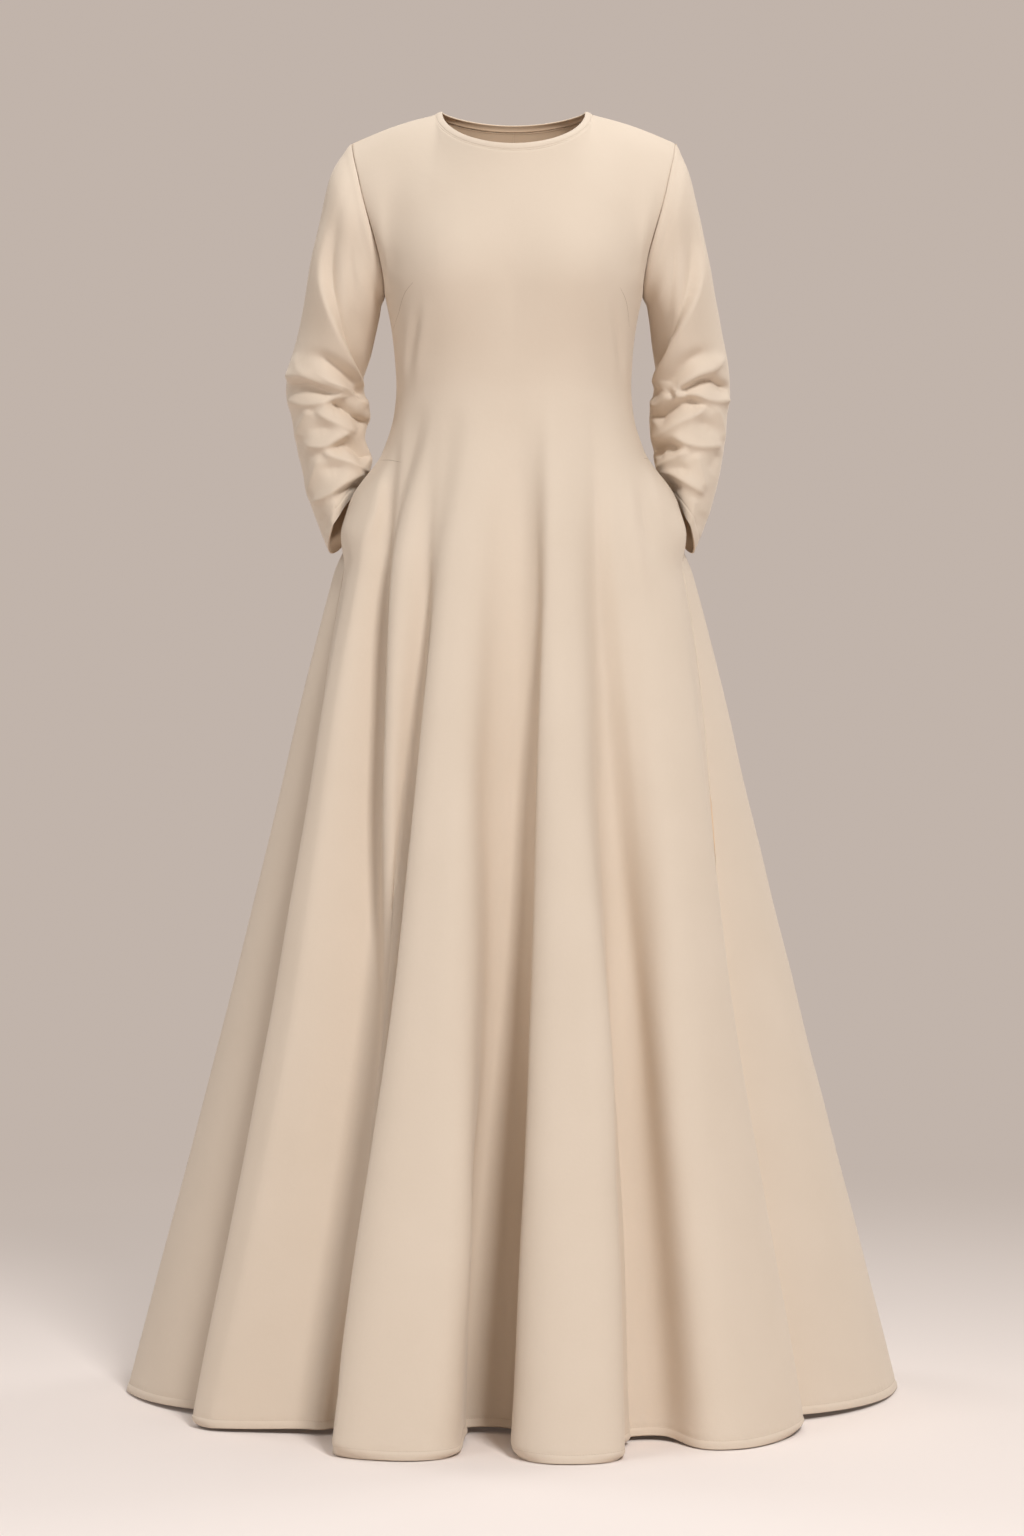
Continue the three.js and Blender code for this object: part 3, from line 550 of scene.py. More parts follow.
BACK_CREASES = (
    # across the shoulder blades and down to the waist
    Crease(((-150, 1330), (-112, 1306), (-70, 1292)), -1.6, 18, 20, 2),
    Crease(((154, 1334), (118, 1306), (82, 1296)), -1.7, 20, 18, 2),
    Crease(((-128, 1252), (-108, 1190), (-92, 1120)), 2.4, 12, 9, 1.7),
    Crease(((-98, 1240), (-84, 1178), (-72, 1110)), -1.9, 10, 10, 2),
    Crease(((126, 1250), (110, 1196), (98, 1128)), 2.2, 9, 12, 1.7),
    Crease(((94, 1236), (84, 1172), (76, 1104)), -2.0, 10, 10, 2),
    Crease(((-44, 1216), (-40, 1150), (-46, 1080)), 1.6, 12, 12, 2),
    Crease(((48, 1204), (42, 1142), (50, 1072)), 1.8, 12, 13, 2),
    # where the skirt's folds start
    Crease(((-118, 1118), (-126, 1040), (-138, 930), (-150, 820)), 3.0, 6, 13, 1.5),
    Crease(((-92, 1100), (-98, 1020), (-104, 900)), -3.2, 11, 10, 2),
    Crease(((-52, 1110), (-58, 1010), (-62, 880), (-70, 760)), 3.0, 12, 6, 1.5),
    Crease(((-24, 1090), (-26, 980), (-28, 850)), -2.4, 9, 10, 2),
    Crease(((56, 1104), (60, 1006), (66, 884), (74, 770)), 2.8, 6, 13, 1.5),
    Crease(((90, 1094), (98, 1004), (108, 880)), -3.0, 10, 11, 2),
    Crease(((120, 1112), (130, 1030), (144, 920), (156, 810)), 2.8, 13, 6, 1.5),
    Crease(((-158, 640), (-184, 480), (-212, 300)), 2.2, 16, 16, 2),
    Crease(((-66, 620), (-76, 450), (-88, 260)), 2.0, 18, 18, 2),
    Crease(((78, 660), (92, 490), (104, 290)), 2.2, 18, 16, 2),
    Crease(((170, 600), (196, 440), (226, 250)), 2.0, 16, 18, 2),
)
RIGHT_SLEEVE_FRONT = (
    # the long fold from the shoulder to the inner elbow, with the sunk inner face behind it
    Lap(
        ((-197, 1395), (-213, 1320), (-214, 1270), (-199, 1219), (-189, 1193), (-177, 1168), (-169, 1152)),
        -6.5, 26, 22, 1.5, 0.5, 0.05, 5.0, 1.4,
    ),
    Crease(((-180, 1360), (-184, 1300), (-176, 1240), (-165, 1180)), -6.0, 14, 14, 2, 0.4, 0.3),
    # round the elbow: each ridge slopes out from above and drops steeply below
    Crease(
        ((-244, 1192), (-220, 1188), (-198, 1174), (-182, 1159), (-168, 1144)),
        -8.0, 8, 9, 1.9, 0.5, 0.08,
    ),
    Crease(((-248, 1197), (-246, 1182), (-239, 1172), (-226, 1171)), 2.0, 6, 6, 1.3),
    Crease(
        ((-230, 1174), (-209, 1162), (-194, 1153), (-181, 1143), (-166, 1132)),
        4.2, 8, 5, 1.25, 0.35, 0.1,
    ),
    Crease(
        ((-263, 1166), (-251, 1168), (-238, 1167), (-225, 1162), (-208, 1155), (-192, 1148)),
        5.5, 13, 4.5, 1.3, 0.12, 0.2,
    ),
    Crease(
        ((-262, 1158), (-240, 1159), (-224, 1155), (-209, 1150), (-199, 1147)),
        -6.5, 4.5, 10, 1.8, 0.15, 0.25,
    ),
    Crease(
        ((-189, 1146), (-206, 1141), (-223, 1137), (-238, 1136), (-251, 1140), (-262, 1145)),
        4.4, 6, 9, 1.3, 0.15, 0.15,
    ),
    Crease(
        ((-218, 1134), (-203, 1136), (-189, 1129), (-177, 1121), (-165, 1112)),
        -9.0, 5, 10, 1.8, 0.3, 0.1,
    ),
    Crease(
        ((-228, 1130), (-215, 1120), (-202, 1113), (-190, 1107), (-178, 1103)),
        4.2, 12, 5, 1.3, 0.2, 0.2,
    ),
    Crease(((-232, 1132), (-240, 1118), (-246, 1106), (-248, 1090)), 3.4, 8, 5, 1.3, 0.2, 0.3),
    Crease(((-236, 1102), (-219, 1108), (-201, 1102)), -3.0, 6, 12, 1.9, 0.4, 0.4),
    Crease(
        ((-189, 1107), (-196, 1099), (-206, 1091), (-219, 1087), (-231, 1088), (-244, 1095)),
        4.8, 5, 9, 1.3, 0.15, 0.25,
    ),
    # down the forearm
    Crease(
        ((-216, 1080), (-201, 1088), (-188, 1091), (-175, 1084), (-165, 1073)),
        -8.5, 5, 10, 1.8, 0.3, 0.1,
    ),
    Crease(
        ((-220, 1081), (-202, 1074), (-187, 1068), (-173, 1062), (-166, 1058)),
        4.4, 10, 5, 1.3, 0.2, 0.1,
    ),
    Crease(((-221, 1079), (-225, 1065), (-230, 1050), (-233, 1037), (-234, 1022)), 3.8, 8, 6, 1.3, 0.2, 0.3),
    Crease(((-222, 1058), (-207, 1062), (-190, 1060)), -2.8, 6, 11, 1.9, 0.4, 0.4),
    Crease(
        ((-237, 1024), (-223, 1026), (-209, 1033), (-196, 1044), (-185, 1052), (-173, 1060)),
        4.6, 9, 5, 1.3, 0.2, 0.1,
    ),
    Crease(((-208, 1029), (-196, 1034), (-186, 1040), (-176, 1048)), -3.4, 4, 7, 1.8, 0.3, 0.2),
    Crease(((-249, 1080), (-246, 1062), (-241, 1044)), -2.6, 6, 7, 2),
    Crease(((-204, 1028), (-206, 1012), (-206, 998), (-202, 984)), 1.8, 5, 6, 1.4, 0.2, 0.4),
    Crease(((-223, 1012), (-216, 1000), (-208, 988)), -1.4, 7, 7, 2),
)
LEFT_SLEEVE_FRONT = (
    Lap(
        ((199, 1395), (210, 1320), (206, 1265), (187, 1219), (178, 1198), (167, 1174), (160, 1153)),
        6.5, 22, 26, 1.5, 0.5, 0.05, 5.0, 1.4,
    ),
    Crease(((178, 1360), (181, 1300), (170, 1240), (157, 1180)), -6.0, 14, 14, 2, 0.4, 0.3),
    # round the elbow
    Crease(((236, 1190), (217, 1192), (200, 1184), (186, 1168), (173, 1152)), -6.5, 11, 9, 1.9, 0.4, 0.15),
    Crease(
        ((182, 1146), (188, 1152), (197, 1160), (210, 1169), (225, 1175), (235, 1184), (244, 1195)),
        5.2, 12, 5, 1.3, 0.1, 0.25,
    ),
    Crease(
        ((186, 1149), (200, 1155), (214, 1162), (227, 1164), (240, 1158), (250, 1151)),
        -8.0, 4.5, 9, 1.8, 0.15, 0.15,
    ),
    Crease(
        ((181, 1145), (187, 1142), (198, 1146), (209, 1146), (220, 1142), (231, 1140), (250, 1143)),
        4.6, 9, 6, 1.3, 0.12, 0.1,
    ),
    Crease(((159, 1148), (161, 1137), (166, 1134), (173, 1139), (182, 1148)), 4.0, 7, 5, 1.3, 0.2, 0.2),
    Crease(
        ((160, 1118), (172, 1129), (186, 1136), (201, 1139), (213, 1135), (218, 1130)),
        -9.0, 5, 10, 1.8, 0.1, 0.25,
    ),
    Crease(
        ((159, 1091), (174, 1103), (190, 1114), (205, 1122), (214, 1128), (219, 1135)),
        4.8, 10, 6, 1.3, 0.12, 0.15,
    ),
    Crease(((202, 1110), (219, 1113), (229, 1107), (234, 1096)), -3.0, 6, 11, 1.9, 0.4, 0.4),
    Crease(((225, 1137), (235, 1121), (239, 1105), (240, 1088)), 3.6, 5, 8, 1.3, 0.25, 0.3),
    Crease(
        ((180, 1102), (193, 1093), (207, 1088), (220, 1087), (233, 1089), (242, 1092)),
        4.6, 9, 5, 1.3, 0.2, 0.2,
    ),
    # down the forearm
    Crease(((159, 1080), (169, 1089), (182, 1088), (196, 1082)), -8.5, 5, 10, 1.8, 0.12, 0.35),
    Crease(((165, 1062), (178, 1071), (190, 1077), (202, 1081)), 4.2, 9, 5, 1.3, 0.12, 0.3),
    Crease(((208, 1081), (212, 1064), (215, 1048), (218, 1033)), 3.6, 6, 8, 1.3, 0.2, 0.3),
    Crease(((174, 1056), (190, 1062), (205, 1056)), -2.8, 6, 11, 1.9, 0.4, 0.4),
    Crease(((164, 1059), (180, 1057), (193, 1049), (207, 1039), (220, 1031)), 4.6, 9, 5, 1.3, 0.12, 0.2),
    Crease(((168, 1048), (182, 1043), (193, 1034)), -3.2, 5, 7, 1.8),
    Crease(((241, 1082), (230, 1070), (225, 1055)), -2.4, 6, 6, 2),
    Crease(((206, 1030), (203, 1010), (200, 988)), 1.8, 6, 5, 1.4, 0.2, 0.4),
    Crease(((220, 1014), (214, 1002), (207, 990)), -1.4, 7, 7, 2),
)
RIGHT_SLEEVE_BACK = (
    Crease(((-190, 1380), (-204, 1320), (-222, 1262), (-246, 1206)), 3.4, 14, 16, 1.9, 0.4, 0.3),
    Crease(((-172, 1330), (-182, 1284), (-192, 1236)), -3.4, 12, 12, 2),
    Crease(((-168, 1250), (-184, 1216), (-214, 1192), (-250, 1184)), 3.8, 10, 7, 1.6),
    Crease(((-166, 1172), (-190, 1160), (-222, 1160), (-256, 1168)), -3.8, 9, 9, 2),
    Crease(((-168, 1146), (-196, 1136), (-228, 1140), (-258, 1152)), 3.4, 7, 9, 1.6),
    Crease(((-172, 1112), (-198, 1118), (-228, 1106), (-250, 1092)), -3.0, 8, 8, 2),
    Crease(((-168, 1090), (-192, 1098), (-222, 1086), (-246, 1066)), 3.6, 7, 8, 1.6),
    Crease(((-170, 1064), (-192, 1066), (-216, 1052), (-236, 1030)), 3.0, 6, 8, 1.6),
    Crease(((-184, 1046), (-202, 1038), (-220, 1016)), -2.4, 7, 7, 2),
)
LEFT_SLEEVE_BACK = (
    Crease(((186, 1380), (196, 1320), (212, 1264), (238, 1210)), 3.4, 16, 14, 1.9, 0.4, 0.3),
    Crease(((168, 1330), (176, 1282), (186, 1230)), -3.2, 12, 12, 2),
    Crease(((162, 1240), (180, 1208), (210, 1190), (242, 1178)), 3.8, 7, 10, 1.6),
    Crease(((160, 1176), (184, 1160), (214, 1156), (248, 1162)), -3.8, 9, 9, 2),
    Crease(((158, 1150), (186, 1138), (216, 1136), (248, 1146)), 3.4, 9, 7, 1.6),
    Crease(((160, 1118), (188, 1120), (218, 1110), (242, 1096)), -3.0, 8, 8, 2),
    Crease(((162, 1092), (186, 1096), (214, 1082), (238, 1064)), 3.4, 8, 7, 1.6),
    Crease(((164, 1058), (188, 1062), (212, 1048), (230, 1030)), 3.0, 8, 6, 1.6),
    Crease(((180, 1042), (200, 1034), (214, 1014)), -2.4, 7, 7, 2),
)
DARTS: tuple[Path, ...] = (
    ((-113, 1269), (-122, 1259), (-127, 1248), (-131, 1235), (-137, 1221)),
    ((120, 1263), (125, 1254), (128, 1245), (130, 1232), (131, 1221)),
)
POCKET_TOP_SEAMS: tuple[Path, ...] = (
    ((-152, 1071), (-140, 1070), (-127, 1067)),
    ((148, 1073), (154, 1072), (157, 1070)),
)


@dataclass(frozen=True)
class BodyForm:
    """The plain form that the bodice and skirt follow, with the folds and shaping laid on it."""

    bust_across: float = 74.0
    bust_height: float = 1285.0
    bust_out: float = 14.0
    bust_radius: tuple[float, float] = (46.0, 48.0)
    neck_half_width: float = 82.0
    neck_top: float = 1471.0
    neck_depth: dict[Facing, float] = field(default_factory=lambda: {Facing.FRONT: 85.0, Facing.BACK: 66.0})
    neck_drop: dict[Facing, float] = field(default_factory=lambda: {Facing.FRONT: 45.0, Facing.BACK: 8.0})
    binding_width: float = 8.5
    shoulder_tip: tuple[float, float, float] = (186.0, 4.0, 1435.0)
    shoulder_arch: float = 3.0
    mouth_top: float = 1069.0
    mouth_bottom: float = 951.0
    mouth_fade: float = 45.0
    mouth_spread: float = 34.0
    mouth_front: tuple[float, float] = (15.0, -10.0)
    mouth_back: tuple[float, float] = (-10.0, 4.0)

    @cached_property
    def half(self) -> Curve:
        """Half width by height."""
        return column_curve(SECTIONS, "half", "height")

    @cached_property
    def depths(self) -> dict[Facing, Curve]:
        """Depth of the front and of the back by height."""
        return {
            Facing.FRONT: column_curve(SECTIONS, "front", "height"),
            Facing.BACK: column_curve(SECTIONS, "back", "height"),
        }

    @cached_property
    def square(self) -> Curve:
        """Squareness of the section by height."""
        return column_curve(SECTIONS, "square", "height")

    def point(self, bearing: Array, out: Array, height: Array) -> Array:
        """Finds points of the plain section, moved out along its normal.

        Args:
            bearing: Degrees from the centre front, growing towards the garment's left.
            out: How far outside the section each point stands.
            height: Each point's height.

        Returns:
            The points.
        """
        across = np.sin(np.radians(bearing))
        ahead = np.cos(np.radians(bearing))
        half = self.half(height)
        depth = np.where(ahead > 0, self.depths[Facing.FRONT](height), self.depths[Facing.BACK](height))
        power = 2.0 / self.square(height)

        def bend(value: Array, exponent: Array) -> Array:
            """Raises a signed value to a power and keeps its sign."""
            return np.sign(value) * np.abs(value) ** exponent

        normal_x = bend(across, 2 - power) / half
        normal_y = -bend(ahead, 2 - power) / depth
        length = np.hypot(normal_x, normal_y)
        x = half * bend(across, power) + out * normal_x / length
        y = -depth * bend(ahead, power) + out * normal_y / length
        return triple(x, y, height)

    def seam_bearing(self, side: Array, height: Array) -> Array:
        """Gives the side seam's bearing.

        Args:
            side: -1 for the right seam and 1 for the left.
            height: Heights above the hem.

        Returns:
            The bearings, in degrees.
        """
        level = np.minimum(height, WAIST)
        right = Curve(BEARING_HEIGHTS, FRONT_FOLDS[0].bearing)(level)
        left = Curve(BEARING_HEIGHTS, FRONT_FOLDS[-1].bearing)(level)
        return np.where(side < 0, right, left)

    def mouth_share(self, height: Array) -> Array:
        """Says how much of the pocket mouth's shaping a height has.

        Args:
            height: Heights above the hem.

        Returns:
            Shares from 0 to 1.
        """
        low = smooth(height, self.mouth_bottom - 10, self.mouth_bottom + self.mouth_fade)
        high = smooth(height, self.mouth_top - self.mouth_fade, self.mouth_top + 14)
        return low * (1 - high)

    def shape_mouth(self, points: Array, facing: Facing) -> Array:
        """Holds a panel's edge out at the pocket mouth, or sinks it in on the back.

        Args:
            points: The cloth's points.
            facing: The front or the back.

        Returns:
            The points with the mouth's shape.
        """
        x, y, height = points[..., 0], points[..., 1], points[..., 2]
        side = np.sign(x)
        bearing = np.degrees(np.arctan2(x / self.half(height), -y / self.depths[Facing.FRONT](height)))
        away = np.abs(bearing - self.seam_bearing(side, height))
        share = self.mouth_share(height) * (1 - smooth(away, 0, self.mouth_spread))
        across, along = self.mouth_front if facing is Facing.FRONT else self.mouth_back
        return points + triple(side * across * share, along * share, 0.0)

    def add_bust(self, points: Array) -> Array:
        """Raises one soft mound on each side of the front.

        Args:
            points: The cloth's points.

        Returns:
            The points with the mounds.
        """
        dx = (np.abs(points[..., 0]) - self.bust_across) / self.bust_radius[0]
        dz = (points[..., 2] - self.bust_height) / self.bust_radius[1]
        mound = self.bust_out * np.exp(-(dx * dx + dz * dz) / 2)
        ahead = points[..., 1] <= 0
        return points - triple(0.0, np.where(ahead, mound, 0.0), 0.0)

    def neck_fall(self, turn: Array, facing: Facing) -> Array:
        """Gives the direction in which the cloth leaves the neck edge.

        Args:
            turn: Degrees from the middle, from -90 at one shoulder to 90 at the other.
            facing: The front or the back of the neck.

        Returns:
            The unit directions.
        """
        angle = np.radians(turn)
        middle = np.cos(angle)
        steep = mix(0.36, 0.93 if facing is Facing.FRONT else 0.9, middle)
        flat = np.sqrt(1 - steep * steep)
        return unit(triple(np.sin(angle) * flat, facing.value * middle * flat, -steep))

    def neck_point(self, turn: Array, facing: Facing, down: Array | float) -> Array:
        """Finds points of the neck edge, moved down the cloth.

        Args:
            turn: Degrees from the middle, from -90 at one shoulder to 90 at the other.
            facing: The front or the back of the neck.
            down: How far down the cloth from the edge.

        Returns:
            The points.
        """
        angle = np.radians(turn)
        middle = np.cos(angle)
        drop = middle if facing is Facing.FRONT else middle * middle
        edge = triple(
            self.neck_half_width * np.sin(angle),
            facing.value * self.neck_depth[facing] * middle,
            self.neck_top - self.neck_drop[facing] * drop,
        )
        return edge + self.neck_fall(turn, facing) * np.asarray(down, float)[..., None]

    def top_edge(self, across: Array, facing: Facing) -> tuple[Array, Array]:
        """Finds a panel's top edge and the directions in which the panel leaves it.

        Args:
            across: Places on the edge, from -90 at one shoulder tip to 90 at the other.
            facing: The front or the back.

        Returns:
            The points and the directions.
        """
        side = np.where(across < 0, -1.0, 1.0)
        share = np.abs(across)
        seam = self.binding_width + SEAM_GAP
        turn = np.clip(90 * across / NECK_BEARING, -90, 90)
        neck = self.neck_point(turn, facing, np.full(across.shape, seam))
        middle = np.clip(np.cos(np.radians(turn)), 0, 1) ** 0.8
        slope = np.radians(mix(20.0, 76.0 if facing is Facing.FRONT else 72.0, middle))
        neck_leaves = triple(0.0, facing.value * np.cos(slope), -np.sin(slope))
        t = np.clip((share - NECK_BEARING) / (90 - NECK_BEARING), 0, 1)
        start = self.neck_point(np.full(across.shape, 90.0), facing, np.full(across.shape, seam))
        tip = self.shoulder_tip
        shoulder = triple(
            side * mix(start[..., 0], tip[0], t),
            mix(start[..., 1], tip[1], t),
            mix(start[..., 2], tip[2], t) + self.shoulder_arch * np.sin(np.pi * t),
        )
        shoulder_leaves = unit(triple(0.0, facing.value * 0.95 + 0 * t, -0.34))
        on_neck = (share <= NECK_BEARING)[..., None]
        return np.where(on_neck, neck, shoulder), np.where(on_neck, neck_leaves, shoulder_leaves)

    def armhole(self, side: Array | float, facing: Facing, down: Array) -> Array:
        """Finds points of the armhole seam.

        Args:
            side: -1 for the right armhole and 1 for the left.
            facing: Its front or its back half.
            down: Places from 0 at the shoulder tip to 1 at the underarm.

        Returns:
            The points.
        """
        rows = ARMHOLES[facing]
        x, y, z = (column_curve(rows, key, "down")(down) for key in ("x", "y", "z"))
        return triple(side * x, y, z)


FORM = BodyForm()


def grid_normals(points: Array, turn: float, wraps: bool) -> Array:
    """Works out the directions square to a grid of points.

    Args:
        points: Rows and columns of points.
        turn: 1 or -1, so that the directions face out of the garment.
        wraps: Whether the last column meets the first.

    Returns:
        The unit directions.
    """
    if wraps:
        across = np.roll(points, -1, axis=1) - np.roll(points, 1, axis=1)
    else:
        first = points[:, 1:2] - points[:, :1]
        last = points[:, -1:] - points[:, -2:-1]
        across = np.concatenate([first, points[:, 2:] - points[:, :-2], last], axis=1)
    top = points[:1] - points[1:2]
    bottom = points[-2:-1] - points[-1:]
    up = np.concatenate([top, points[:-2] - points[2:], bottom], axis=0)
    return unit(np.cross(across, up)) * turn


@dataclass
class Surface:
    """The middle of a piece of cloth: rows and columns of points, with their outward directions."""

    points: Array
    turn: float = 1.0
    wraps: bool = False
    normals: Array = field(init=False)

    def __post_init__(self) -> None:
        """Works out the directions."""
        self.refresh()

    def refresh(self) -> None:
        """Works the directions out again after the points have moved."""
        self.normals = grid_normals(self.points, self.turn, self.wraps)

    def push(self, amount: Array) -> None:
        """Moves each point out of the garment by its amount."""
        self.points = self.points + self.normals * amount[..., None]
        self.refresh()

    def crease(self, creases: Sequence[Line], facing: Facing, free: Array) -> None:
        """Lays creases on the part of the surface that faces one way.

        Args:
            creases: The ridges, troughs and laps.
            facing: The side from which their paths are seen.
            free: How freely each point moves, 0 on a seam and 1 away from it.
        """
        # whole where the cloth faces that way, and gone where it has turned past its side
        towards = self.normals[..., 1] * facing.value
        share = smooth(towards, -0.3, 0.45) * free
        amount = np.zeros(share.shape)
        for crease in creases:
            amount += crease.push(self.points[..., 0], self.points[..., 2])
        self.push(amount * share)

    def ripple(self, depth: float, length: float, seed: int) -> None:
        """Adds a slight unevenness, so that no stretch of cloth is perfectly even.

        Args:
            depth: How far the cloth moves.
            length: The usual length of one wave.
            seed: Starts the random directions.
        """
        chance = np.random.default_rng(seed)
        amount = np.zeros(self.points.shape[:2])
        waves = 7
        for _ in range(waves):
            direction = unit(chance.normal(size=3))
            wave = length * chance.uniform(0.7, 1.6)
            phase = chance.uniform(0, math.tau)
            amount += np.sin(self.points @ direction * (math.tau / wave) + phase)
        self.push(amount * depth / math.sqrt(waves))

    def from_side(self, last: bool) -> Array:
        """Measures how far each point lies from a side edge, along its row.

        Args:
            last: Whether from the last column and not the first.

        Returns:
            The distances.
        """
        steps = np.linalg.norm(np.diff(self.points, axis=1), axis=-1)
        start = np.zeros((len(self.points), 1))
        if last:
            return np.concatenate([start, np.cumsum(steps[:, ::-1], axis=1)], axis=1)[:, ::-1]
        return np.concatenate([start, np.cumsum(steps, axis=1)], axis=1)

    def from_top(self, last: bool) -> Array:
        """Measures how far each point lies from the first or the last row, along its column.

        Args:
            last: Whether from the last row and not the first.

        Returns:
            The distances.
        """
        steps = np.linalg.norm(np.diff(self.points, axis=0), axis=-1)
        start = np.zeros((1, self.points.shape[1]))
        if last:
            return np.concatenate([start, np.cumsum(steps[::-1], axis=0)], axis=0)[::-1]
        return np.concatenate([start, np.cumsum(steps, axis=0)], axis=0)

    def line_along_side(self, last: bool, away: float, low: float, high: float) -> tuple[Array, Array]:
        """Finds a line that keeps one distance from a side edge.

        Args:
            last: Whether it follows the last column and not the first.
            away: The distance from that edge, along the cloth.
            low: The lowest height of the line.
            high: Its highest height.

        Returns:
            The line's points and directions, from the top down.
        """
        distance = self.from_side(last)
        column = -1 if last else 0
        rows = [i for i in range(len(self.points)) if low <= self.points[i, column, 2] <= high]
        points = []
        normals = []
        for i in rows:
            order = np.argsort(distance[i])
            reach = distance[i][order]
            for values, found in ((self.points, points), (self.normals, normals)):
                found.append([np.interp(away, reach, values[i, order, k]) for k in range(3)])
        return np.array(points), unit(np.array(normals))


def placed(points: Array) -> Array:
    """Moves points from millimetres above the hem to metres in the model's frame."""
    return (points - np.array([0.0, 0.0, HOLD_HEIGHT])) * METRES


def make_object(name: str, points: Array, faces: Sequence[Sequence[int]]) -> bpy.types.Object:
    """Makes a smooth mesh object from points in millimetres.

    Args:
        name: The object's name.
        points: The points, one a row.
        faces: The corners of each face.

    Returns:
        The object, linked into the scene.
    """
    mesh = bpy.data.meshes.new(name)
    mesh.from_pydata(placed(points).tolist(), [], faces)
    mesh.polygons.foreach_set("use_smooth", [True] * len(mesh.polygons))
    mesh.update()
    made = bpy.data.objects.new(name, mesh)
    bpy.context.scene.collection.objects.link(made)
    return made


def make_wall(
    name: str, surface: Surface, thickness: float | Array, capped: bool = False, pucker: Array | None = None
) -> bpy.types.Object:
    """Closes a surface into a thin wall of cloth.

    Args:
        name: The object's name.
        surface: The middle of the cloth.
        thickness: The wall's thickness, one number or one for each point.
        capped: Whether the last row is closed, as the bottom of a bag.
        pucker: How puckered the cloth is at each point, from 0 to 1.

    Returns:
        The object.
    """
    rows, columns = surface.points.shape[:2]
    half = np.broadcast_to(np.asarray(thickness, float), (rows, columns))[..., None] / 2
    sides = [surface.points + surface.normals * half, surface.points - surface.normals * half]
    points = np.concatenate([side.reshape(-1, 3) for side in sides])
    inner = rows * columns
    spans = columns if surface.wraps else columns - 1
    i, j = np.meshgrid(np.arange(rows - 1), np.arange(spans), indexing="ij")
    i, j = i.ravel(), j.ravel()
    k = (j + 1) % columns
    a, b, c, d = i * columns + j, (i + 1) * columns + j, (i + 1) * columns + k, i * columns + k
    quads = [np.stack([a, b, c, d], -1), np.stack([a, d, c, b], -1) + inner]
    j = np.arange(spans)
    k = (j + 1) % columns
    quads.append(np.stack([j, k, k + inner, j + inner], -1))
    if not capped:
        end = (rows - 1) * columns
        quads.append(np.stack([end + j, end + j + inner, end + k + inner, end + k], -1))
    if not surface.wraps:
        i = np.arange(rows - 1)
        for column, flip in ((0, False), (columns - 1, True)):
            a, b = i * columns + column, (i + 1) * columns + column
            strip = np.stack([a, a + inner, b + inner, b], -1)
            quads.append(strip[:, ::-1] if flip else strip)
    faces = np.concatenate(quads)
    if capped:
        rim = (rows - 1) * columns + np.arange(columns)
        caps = [rim.tolist(), (rim + inner)[::-1].tolist()]
    else:
        caps = []
    middle = rows // 2
    down = surface.points[middle + 1, 1] - surface.points[middle, 1]
    across = surface.points[middle, 2] - surface.points[middle, 1]
    if np.dot(np.cross(down, across), surface.normals[middle, 1]) < 0:
        faces = faces[:, ::-1]
        caps = [cap[::-1] for cap in caps]
    made = make_object(name, points, faces.tolist() + caps)
    values = np.zeros((rows, columns)) if pucker is None else pucker
    layer = made.data.attributes.new("pucker", "FLOAT", "POINT")
    layer.data.foreach_set("value", np.concatenate([values.ravel(), values.ravel()]))
    # inside marks the inner sheet, which the finish tints with painted warm bounce shade
    layer = made.data.attributes.new("inside", "FLOAT", "POINT")
    layer.data.foreach_set("value", np.repeat([0.0, 1.0], inner))
    return made


class Signal:
    """A shader value that Python's operators act on, each adding the Math node it needs."""

    def __init__(self, graph: Graph, socket: bpy.types.NodeSocket) -> None:
        """Wraps one output socket of a graph."""
        self.graph = graph
        self.socket = socket

    def _math(self, operation: str, first: Signal | float, second: Signal | float) -> Signal:
        """Adds one Math node."""
        made = self.graph.node("ShaderNodeMath", {"operation": operation}, {0: first, 1: second})
        return Signal(self.graph, made.outputs[0])

    def __add__(self, other: Signal | float) -> Signal:
        """Adds another value."""
        return self._math("ADD", self, other)

    __radd__ = __add__

    def __mul__(self, other: Signal | float) -> Signal:
        """Multiplies by another value."""
        return self._math("MULTIPLY", self, other)

    __rmul__ = __mul__

    def __sub__(self, other: Signal | float) -> Signal:
        """Takes another value away."""
        return self._math("SUBTRACT", self, other)

    def __rsub__(self, other: Signal | float) -> Signal:
        """Is taken away from a number."""
        return self._math("SUBTRACT", other, self)


